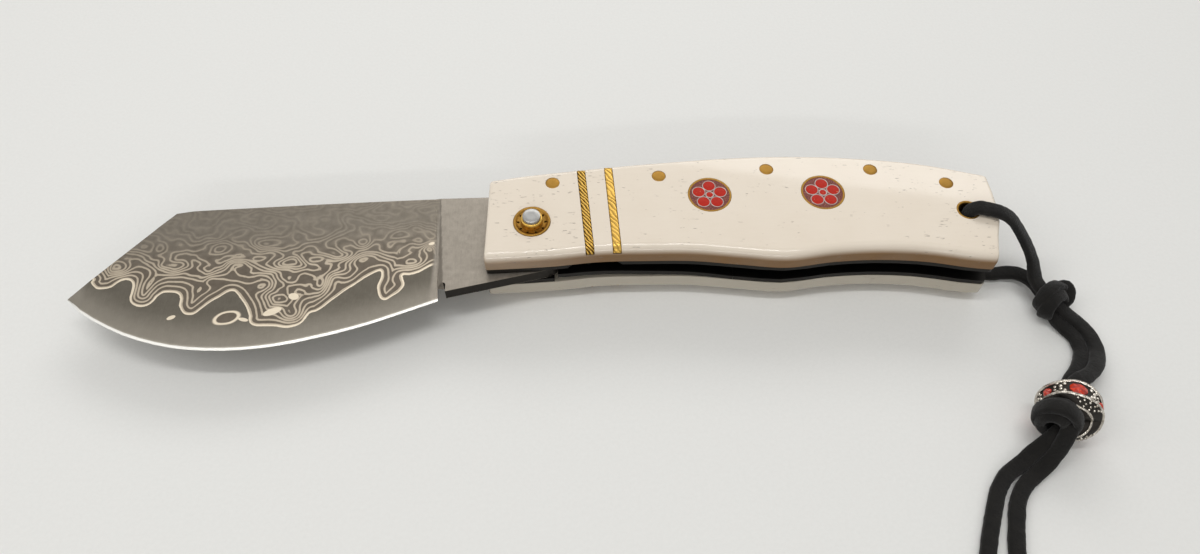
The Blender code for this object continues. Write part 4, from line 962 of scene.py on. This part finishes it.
# Mosaic pins
# A brass tube is packed with five thin steel tubes round a sixth, all filled with red resin. The
# rest is filled with a dark red one with pale specks, and the whole is ground flush.
WALL_RADIUS, WALL_BORE, WALL_FLOOR = 4.95, 4.5, 3.06
PETAL_RING = 2.56
PETAL_RADIUS, PETAL_BORE = 1.54, 1.35
HEART_RADIUS, HEART_BORE = 1.0, 0.74
PETAL_FLOOR = 3.7

resin = Finish("red_resin", Specular_IOR_Level=0.15)
mixing = resin.noise(0.6 * MM, 4.0, 0.6)
flecks = resin.noise(0.45 * MM, 1.0).rise(0.71, 0.76)
glow = resin.mix(mixing, paint(150, 14, 4), paint(200, 40, 14))
resin.put(
    Base_Color=resin.mix(flecks * 0.7, glow, paint(206, 150, 96)), Roughness=mixing * 0.1 + 0.3
)
resin.emboss(mixing * 0.02)

speckled = Finish("speckled_resin", Specular_IOR_Level=0.3)
crumbs = speckled.noise(0.26 * MM, 3.0, 0.7)
patches = speckled.noise(0.9 * MM, 2.0)
deep = speckled.mix(patches, paint(66, 18, 12), paint(120, 48, 32))
speckled.put(
    Base_Color=speckled.mix(crumbs.rise(0.50, 0.68), deep, paint(172, 98, 84)),
    Roughness=crumbs * 0.2 + 0.28,
)
speckled.emboss(crumbs * 0.02)

thin_steel = brushed("thin_tube_steel", paint(124, 114, 110), paint(184, 172, 166), 0.36)


def gather(pieces, name):
    """Join pieces into one."""
    take(pieces[0])
    for piece in pieces[1:]:
        piece.select_set(True)
    bpy.ops.object.join()
    pieces[0].name = name
    return pieces[0]


petal_places = [(0.0, 0.0)]
for k in range(5):
    turn = math.radians(90 + 72 * k)
    petal_places.append((PETAL_RING * math.cos(turn), PETAL_RING * math.sin(turn)))
rings, drops = [], []
for k, (x, y) in enumerate(petal_places):
    outer, bore = (PETAL_RADIUS, PETAL_BORE) if k else (HEART_RADIUS, HEART_BORE)
    ring_profile = (
        (bore, PETAL_FLOOR), (outer, PETAL_FLOOR), (outer, 7.22), (outer - 0.05, 7.26),
        (bore + 0.05, 7.26), (bore, 7.22),
    )
    drop_profile = (
        (0, PETAL_FLOOR), (bore, PETAL_FLOOR), (bore, 7.21), (bore * 0.7, 7.235), (0, 7.24),
    )
    rings.append(turned(f"ring_{k}", ring_profile, 40, closed=True))
    drops.append(turned(f"drop_{k}", drop_profile, 36))
    for piece in (rings[-1], drops[-1]):
        piece.data.transform(Matrix.Translation((x * MM, y * MM, 0)))
WALL_PROFILE = (
    (WALL_BORE, WALL_FLOOR), (WALL_RADIUS, WALL_FLOOR), (WALL_RADIUS, 7.2),
    (WALL_RADIUS - 0.07, 7.26), (WALL_BORE + 0.06, 7.27), (WALL_BORE, 7.22),
)
GROUND_PROFILE = ((0, WALL_FLOOR), (WALL_BORE, WALL_FLOOR), (WALL_BORE, 7.2), (0, 7.21))
wall = turned("wall", WALL_PROFILE, 80, closed=True)
ground = turned("ground", GROUND_PROFILE, 80)
flower, filling = gather(rings, "flower"), gather(drops, "filling")
for side, word in SIDES:
    for number, place in enumerate(MOSAICS, 1):
        for piece, words, look, slot, held in (
            (wall, "tube", brass, "brass", "tube"),
            (ground, "ground", speckled, "red_resin", "filling"),
            (flower, "petals", thin_steel, "bright_steel", "flower"),
            (filling, "drops", resin, "red_resin", "filling"),
        ):
            copy = stand(twin(piece, f"{word}_mosaic_{words}_{number}"), place, side)
            settle(copy, look, slot, f"{word}_mosaic_{held}_{number}")
for piece in (wall, ground, flower, filling):
    bpy.data.objects.remove(piece)


# Lanyard cord
# A flat black suede lace, a little over 3 mm wide, that runs through the brass tube in the butt.
# Its two halves are knotted together, threaded through the bead, knotted again and cut off square.
LACE_WIDTH = 3.3 * MM
LACE_THICKNESS = 1.8 * MM
LACE_STEP = 0.4 * MM
LACE_SIDES = 16
LYING_PULL = 0.12
# how far the lace's section is squared off, and its fuzz: how fine it is, and how high
FLAT_SIDES, FLAT_FACES = 0.55, 0.7
FUZZ = ((900, 0.09 * MM), (260, 0.12 * MM))

suede = Finish(
    "black_suede", Roughness=0.92, Sheen_Weight=0.12, Sheen_Roughness=0.5, Specular_IOR_Level=0.25
)
nap = suede.noise(0.12 * MM, 4.0, 0.7)
wear = suede.noise(2.2 * MM, 3.0, 0.6)
suede.put(
    Base_Color=suede.mix(
        (nap * 0.55 + wear * 0.6 - 0.1).rise(0.15, 0.85), paint(8, 7, 6), paint(27, 25, 22)
    )
)
suede.emboss(nap * 0.10 + suede.noise(0.5 * MM, 2.0) * 0.12)


def lace(name, route, faces):
    """A strip of suede along a route. Faces gives the way its flat side looks at each place."""
    bm = bmesh.new()
    rings = []
    for i, place in enumerate(route):
        along = (route[min(i + 1, len(route) - 1)] - route[max(i - 1, 0)]).normalized()
        out = (faces[i] - along * faces[i].dot(along)).normalized()
        side = along.cross(out)
        ring = []
        for k in range(LACE_SIDES):
            turn = math.tau * k / LACE_SIDES
            across, up = math.cos(turn), math.sin(turn)
            across = math.copysign(abs(across) ** FLAT_SIDES, across) * LACE_WIDTH / 2
            up = math.copysign(abs(up) ** FLAT_FACES, up) * LACE_THICKNESS / 2
            point = place + side * across + out * up
            fuzz = sum(noise.noise(point * fineness) * high for fineness, high in FUZZ)
            ring.append(bm.verts.new(point + (point - place).normalized() * fuzz))
        rings.append(ring)
    for first, second in zip(rings, rings[1:]):
        for k in range(LACE_SIDES):
            bm.faces.new((first[k - 1], first[k], second[k], second[k - 1]))
    bm.faces.new(rings[0])
    bm.faces.new(rings[-1][::-1])
    bmesh.ops.recalc_face_normals(bm, faces=bm.faces)
    mesh = bpy.data.meshes.new(name)
    bm.to_mesh(mesh)
    bm.free()
    return placed(name, mesh)


def lying_faces(route, start):
    """Which way a lace's flat side looks along a route: it turns slowly until it lies flat."""
    faces = [Vector(start)]
    for i in range(1, len(route)):
        along = (route[i] - route[i - 1]).normalized()
        face = faces[-1] - along * faces[-1].dot(along)
        flat = Vector((0, 0, 1)) - along * along.z
        if face.dot(flat) < 0:
            flat = -flat
        face = face.normalized() + flat * LYING_PULL * flat.length
        faces.append(face.normalized())
    return faces


# each half's middle line in millimetres, from inside the tube to its cut end
UPPER_CORD_ROUTE = (
    (97.8, 3.4, 9.2), (97.8, 3.4, 13.2), (98.1, 3.3, 16.2), (99.5, 3.0, 17.9), (101.6, 2.5, 18.0),
    (104.4, 1.7, 17.9), (107.1, 0.9, 16.3), (109.6, -0.4, 13.6), (111.9, -2.3, 10.7),
    (113.4, -4.4, 8.3), (113.9, -6.4, 6.7), (114.2, -8.2, 5.6), (115.5, -10.8, 5.0),
    (117.6, -13.1, 4.2), (119.3, -14.6, 3.3), (120.8, -15.8, 2.6), (122.6, -17.3, 2.0),
    (124.3, -20.2, 1.8), (124.5, -24.6, 2.1), (122.2, -29.2, 3.7), (119.0, -32.2, 4.8),
    (116.1, -33.7, 5.5), (114.2, -35.3, 5.7), (113.1, -37.1, 5.9), (111.4, -40.9, 7.4),
    (109.8, -44.7, 8.9), (109.0, -46.6, 8.6), (108.2, -48.2, 6.6), (107.2, -49.7, 4.0),
    (105.7, -51.2, 2.2), (103.6, -52.8, 1.3), (101.2, -54.7, 1.0), (99.0, -57.4, 1.0),
    (97.6, -60.6, 1.0), (96.4, -64.6, 1.0), (95.4, -69.0, 1.0), (94.7, -74.5, 1.0),
    (94.3, -80.0, 1.0),
)
LOWER_CORD_ROUTE = (
    (97.8, 3.4, 8.8), (97.8, 3.4, 6.2), (97.9, 3.3, 3.6), (98.4, 2.8, 1.6), (100.2, 1.1, 1.1),
    (104.2, -2.5, 1.0), (106.8, -3.3, 1.1), (109.8, -3.2, 1.4), (112.6, -3.8, 1.9),
    (114.6, -5.6, 2.3), (115.7, -7.8, 2.5), (116.7, -10.3, 2.5), (117.1, -12.4, 2.6),
    (117.4, -14.4, 2.6), (118.0, -16.3, 1.9), (119.7, -18.2, 1.2), (121.4, -20.9, 1.0),
    (121.6, -24.2, 1.1), (119.9, -27.8, 2.0), (117.2, -31.0, 3.0), (115.3, -33.1, 3.5),
    (113.9, -35.4, 3.8), (112.8, -37.7, 4.1), (111.2, -41.5, 5.6), (109.0, -45.0, 6.8),
    (107.3, -46.4, 6.0), (105.7, -47.4, 4.2), (103.7, -48.6, 2.4), (101.0, -50.6, 1.4),
    (97.6, -53.0, 1.0), (95.0, -56.3, 1.0), (93.2, -60.1, 1.0), (91.4, -64.5, 1.0),
    (89.7, -69.0, 1.0), (88.5, -74.2, 1.0), (87.8, -79.6, 1.0),
)
cords = []
for name, points, start, held in (
    ("lanyard_cord_upper", UPPER_CORD_ROUTE, (-1, 0, 0),
     ("lanyard_upper_leg", "lanyard_outer_strand", "lanyard_right_tail")),
    ("lanyard_cord_lower", LOWER_CORD_ROUTE, (-1, 0.6, 0),
     ("lanyard_lower_leg", "lanyard_inner_strand", "lanyard_left_tail")),
):
    route = smooth_route([Vector(point) * MM for point in points], LACE_STEP)
    cord = lace(name, route, lying_faces(route, start))
    settle(cord, suede, "black_suede", *held, crease=50)
    cords.append((cord, route))


# Knots
# Each knot is the same lace, wound round itself and pulled tight: the first below the handle,
# with one loop that stands out to the side, and the last close against the bead.
KNOT_CENTRE = Vector((117.2, -12.4, 4.0)) * MM
KNOT_SIZE = (9.0 * MM, 7.0 * MM, 7.6 * MM)
END_KNOT_CENTRE = Vector((107.7, -43.7, 8.0)) * MM
END_KNOT_SIZE = (9.8 * MM, 5.8 * MM, 9.8 * MM)
STEPS_PER_TURN = 72


def wound_knot(name, centre, heading_deg, size, turns, lean, closing, node_name):
    """Turns of lace wound round a knot's middle line, each leaning over the last."""
    spin = Matrix.Rotation(math.radians(heading_deg), 3, "Z")
    across, along, high = (side / 2 - LACE_THICKNESS / 2 for side in size)
    places = []
    count = STEPS_PER_TURN * turns
    for k in range(count + 1):
        t = math.tau * turns * k / count
        share = k / count * 2 - 1
        draw = math.sqrt(1 - (closing * share) ** 2)
        sway = math.sin(t + 0.8) * lean
        places.append(centre + spin @ Vector((
            across * draw * math.cos(t), along * share * 0.8 + sway, high * draw * math.sin(t),
        )))
    piece = lace(name, places, [(place - centre).normalized() for place in places])
    return settle(piece, suede, "black_suede", node_name, crease=60)


first_knot = wound_knot(
    "lanyard_knot_wrap", KNOT_CENTRE, 25, KNOT_SIZE, 2, 1.3 * MM, 0.72, "lanyard_knot"
)
end_knot = wound_knot(
    "lanyard_end_knot_wrap", END_KNOT_CENTRE, -31, END_KNOT_SIZE, 3, 0.5 * MM, 0.95,
    "lanyard_end_knot",
)
EAR_ROUTE = (
    (116.8, -12.0, 4.2), (118.5, -10.8, 5.2), (120.0, -10.1, 5.6), (120.9, -10.6, 5.1),
    (120.7, -12.2, 4.3), (119.5, -13.0, 3.6), (117.8, -13.2, 3.2),
)
EAR_FACE = Vector((-0.3, -0.5, 1))
ear_route = smooth_route([Vector(point) * MM for point in EAR_ROUTE], LACE_STEP)
knot_ear = lace("lanyard_knot_ear", ear_route, [EAR_FACE] * len(ear_route))
settle(knot_ear, suede, "black_suede", crease=60)


# Bead and its stones
# A cast silver bead, blackened in its hollows and polished on its rims and granules. Three large
# and three small red stones are set round its band in turn, and its ends are drawn up in scallops.
BEAD_CENTRE = (0.1113, -0.0412, 0.0066)
BEAD_TURN = (math.radians(70), 0, math.radians(-24))
STONE_TURN_DEG = -5.5
PETAL_TURN_DEG = -37.0
BAND_EDGE = 1.62
# a rim and a lip stand round each end of the bead: how high they lie, and how thick they are
RIM_HEIGHT, RIM_WAVE, RIM_RADIUS = 2.2, 0.25, 0.31 * MM
LIP_HEIGHT, LIP_RADIUS = 4.2, 0.29 * MM
# granules between the stones: their turn past a large stone, their size and their heights
BAND_GRANULES = (
    (25, 0.42, (-1.1, 1.1)), (32, 0.42, (-0.45, 0.5)), (38, 0.42, (-1.45, 1.4)),
    (43, 0.34, (-0.5, 0.55)),
)
# rows of fine granules on a petal: how high, how far to each side of its middle, and how many
PETAL_ROWS = ((2.7, 30, 5), (3.15, 25, 5), (3.6, 19, 4), (3.95, 8, 2))
PETAL_GRANULE = 0.26
WIRE_PROUD, GRANULE_PROUD = 0.02, 0.06
BEAD_PROFILE = (
    (2.7, -4.45), (3.1, -4.5), (3.6, -4.42), (4.1, -4.2), (4.8, -3.8), (5.4, -3.35), (5.85, -2.85),
    (6.05, -2.4), (6.1, -1.9), (5.9, -1.5), (5.84, -0.8), (5.84, 0.0),
)


def scalloped(turn, along):
    """A place along the bead, drawn in towards the notches between its petals."""
    if abs(along) < BAND_EDGE:
        return along
    share = abs((turn - math.radians(PETAL_TURN_DEG)) / math.radians(60) % 2 - 1)
    draw = 0.16 + 0.60 * (1 - share ** 2) ** 0.75
    return math.copysign(BAND_EDGE + (abs(along) - BAND_EDGE) * draw, along)


def bead_radius(along):
    """The bead's radius at a distance from its middle, in millimetres."""
    half = [(-high, radius) for radius, high in reversed(BEAD_PROFILE)]
    along = min(abs(along), half[-1][0])
    for (a0, r0), (a1, r1) in zip(half, half[1:]):
        if along <= a1:
            return r0 + (r1 - r0) * (along - a0) / (a1 - a0)
    return half[-1][1]


def on_bead(turn_deg, along, proud=0.0):
    """A place on the bead, from its turn past a large stone and its height in millimetres."""
    turn = math.radians(turn_deg + STONE_TURN_DEG)
    radius = bead_radius(along) + proud
    drawn = scalloped(math.radians(turn_deg), along)
    return Vector((radius * math.sin(turn), radius * math.cos(turn), drawn)) * MM


full = [*BEAD_PROFILE, *((radius, -high) for radius, high in reversed(BEAD_PROFILE[:-1]))]
bead = turned("silver_bead", full, 96, closed=True)
for vertex in bead.data.vertices:
    turn = math.atan2(vertex.co.x, vertex.co.y) - math.radians(STONE_TURN_DEG)
    vertex.co.z = scalloped(turn, vertex.co.z / MM) * MM


def bead_wire(points, radius):
    """A round wire along places on the bead, closed on itself."""
    line = bpy.data.curves.new("wire", "CURVE")
    line.dimensions, line.bevel_depth, line.bevel_resolution = "3D", radius, 2
    spline = line.splines.new("POLY")
    spline.points.add(len(points) - 1)
    for place, point in zip(points, spline.points):
        point.co = (*place, 1.0)
    spline.use_cyclic_u = True
    take(placed("wire", line))
    bpy.ops.object.convert(target="MESH")
    return bpy.context.object


relief = []
for end in (-1, 1):
    rim, lip = [], []
    for turn_deg in range(0, 360, 3):
        wave = RIM_WAVE * math.cos(math.radians(3 * turn_deg))
        rim.append(on_bead(turn_deg, end * (RIM_HEIGHT + wave), WIRE_PROUD))
        lip.append(on_bead(turn_deg, end * LIP_HEIGHT, WIRE_PROUD))
    relief += [bead_wire(rim, RIM_RADIUS), bead_wire(lip, LIP_RADIUS)]
granules = []
for gap in range(6):
    for aside, size, heights in BAND_GRANULES:
        turn_deg = 60 * gap + (60 - aside if gap % 2 else aside)
        granules += [(turn_deg, along, size) for along in heights]
    if gap % 2:
        for end in (-1, 1):
            for high, spread, count in PETAL_ROWS:
                for k in range(count):
                    turn_deg = 60 * gap + PETAL_TURN_DEG + spread * (2 * k / (count - 1) - 1)
                    granules.append((turn_deg, end * high, PETAL_GRANULE))
for turn_deg, along, size in granules:
    relief.append(added(
        "granule", bpy.ops.mesh.primitive_ico_sphere_add,
        subdivisions=2, radius=size * MM, location=on_bead(turn_deg, along, GRANULE_PROUD),
    ))
relief = gather(relief, "silver_bead_relief")

blackened = Finish("blackened_silver", Metallic=0.8)
pits = blackened.noise(0.25 * MM, 4.0, 0.65)
blackened.put(
    Base_Color=blackened.mix(pits, paint(20, 18, 16), paint(58, 54, 49)),
    Roughness=pits * 0.3 + 0.35,
)
blackened.emboss(pits * 0.05)
silver = Finish("polished_silver", Metallic=1.0)
tarnish = silver.noise(0.7 * MM, 4.0, 0.65)
silver.put(
    Base_Color=silver.mix(tarnish.rise(0.35, 0.7), paint(150, 143, 132), paint(222, 216, 206)),
    Roughness=tarnish * 0.2 + 0.14,
)
silver.emboss(silver.noise(0.2 * MM, 2.0) * 0.02)
for piece, look in ((bead, blackened), (relief, silver)):
    piece.location = BEAD_CENTRE
    piece.rotation_euler = BEAD_TURN
    settle(piece, look, "dark_silver", "bead", crease=40)

stone = Finish("red_stone", Coat_Weight=0.2, Coat_Roughness=0.03, IOR=1.5, Specular_IOR_Level=0.35)
# each facet is painted lighter or darker, and the red varies in patches, as painted glints
flame = stone.noise(0.7 * MM, 2.0)
glint = stone.value_of("glint")
stone.put(
    Base_Color=stone.mix(flame * 0.4 + glint * 0.6, paint(112, 4, 2), paint(240, 62, 14)),
    Roughness=flame * 0.08 + 0.08,
)
# each size's name and radius, and how far its first stone is turned past the first large one
STONES = (("big", 1.75 * MM, 0), ("small", 1.0 * MM, 60))
STONE_HEIGHT = 0.5 * MM
STONE_TABLE = 0.58
TABLE_TURN_DEG = 18


def select_facing(gem, way):
    """Select the faces of a stone that look up, or down."""
    shape = bmesh.from_edit_mesh(gem.data)
    for face in shape.faces:
        face.select_set(face.normal.z * way > 0.9)
    bmesh.update_edit_mesh(gem.data)


def cut_stone(name, radius, turn_deg):
    """A faceted stone, set in the bead's band."""
    gem = added(
        name, bpy.ops.mesh.primitive_cone_add,
        vertices=10, radius1=radius, radius2=STONE_TABLE * radius, depth=STONE_HEIGHT,
    )
    bpy.ops.object.mode_set(mode="EDIT")
    bpy.ops.mesh.select_mode(type="FACE")
    select_facing(gem, -1)
    bpy.ops.mesh.extrude_region_move(TRANSFORM_OT_translate={"value": (0, 0, -STONE_HEIGHT)})
    select_facing(gem, 1)
    bpy.ops.transform.rotate(
        value=math.radians(TABLE_TURN_DEG), orient_axis="Z", center_override=(0, 0, STONE_HEIGHT / 2)
    )
    select_facing(gem, 1)
    bpy.ops.mesh.poke()
    bpy.ops.mesh.select_all(action="SELECT")
    bpy.ops.mesh.quads_convert_to_tris()
    bpy.ops.object.mode_set(mode="OBJECT")
    # how strongly each facet's painted glint shows
    shine = [(0.17 + 0.618 * k) % 1.0 for k in range(len(gem.data.polygons))]
    gem.data.attributes.new("glint", "FLOAT", "FACE").data.foreach_set("value", shine)
    gem.data.transform(
        Matrix.Rotation(-math.radians(STONE_TURN_DEG + turn_deg), 4, "Z")
        @ Matrix.Rotation(math.radians(-90), 4, "X")
        @ Matrix.Translation((0, 0, bead_radius(0) * MM + STONE_HEIGHT / 2))
    )
    gem.location = BEAD_CENTRE
    gem.rotation_euler = BEAD_TURN
    return gem


gems = []
for size, radius, first_deg in STONES:
    for number in range(1, 4):
        gem = cut_stone(f"{size}_red_stone_{number}", radius, first_deg + 120 * (number - 1))
        gems.append(settle(gem, stone, "red_stone", f"{size}_stone_{number}", crease=5))

# both halves leave by the brass tube, and the knots and the bead sit on the upper one: where they
# leave, how long they are, and what sits on the upper one
CORD_EXITS = ((0.0978, 0.0034, 0.0167), (0.0978, 0.0034, 0.0022))
CORD_LENGTHS = (0.125, 0.117)
on_the_cords = [first_knot, end_knot, knot_ear, bead, relief, *gems]
for (cord, route), exit_place, length in zip(cords, CORD_EXITS, CORD_LENGTHS):
    [tuple(place) for place in route[::3] + [route[-1]]]
    on_the_cords if cord == cords[0][0] else ()
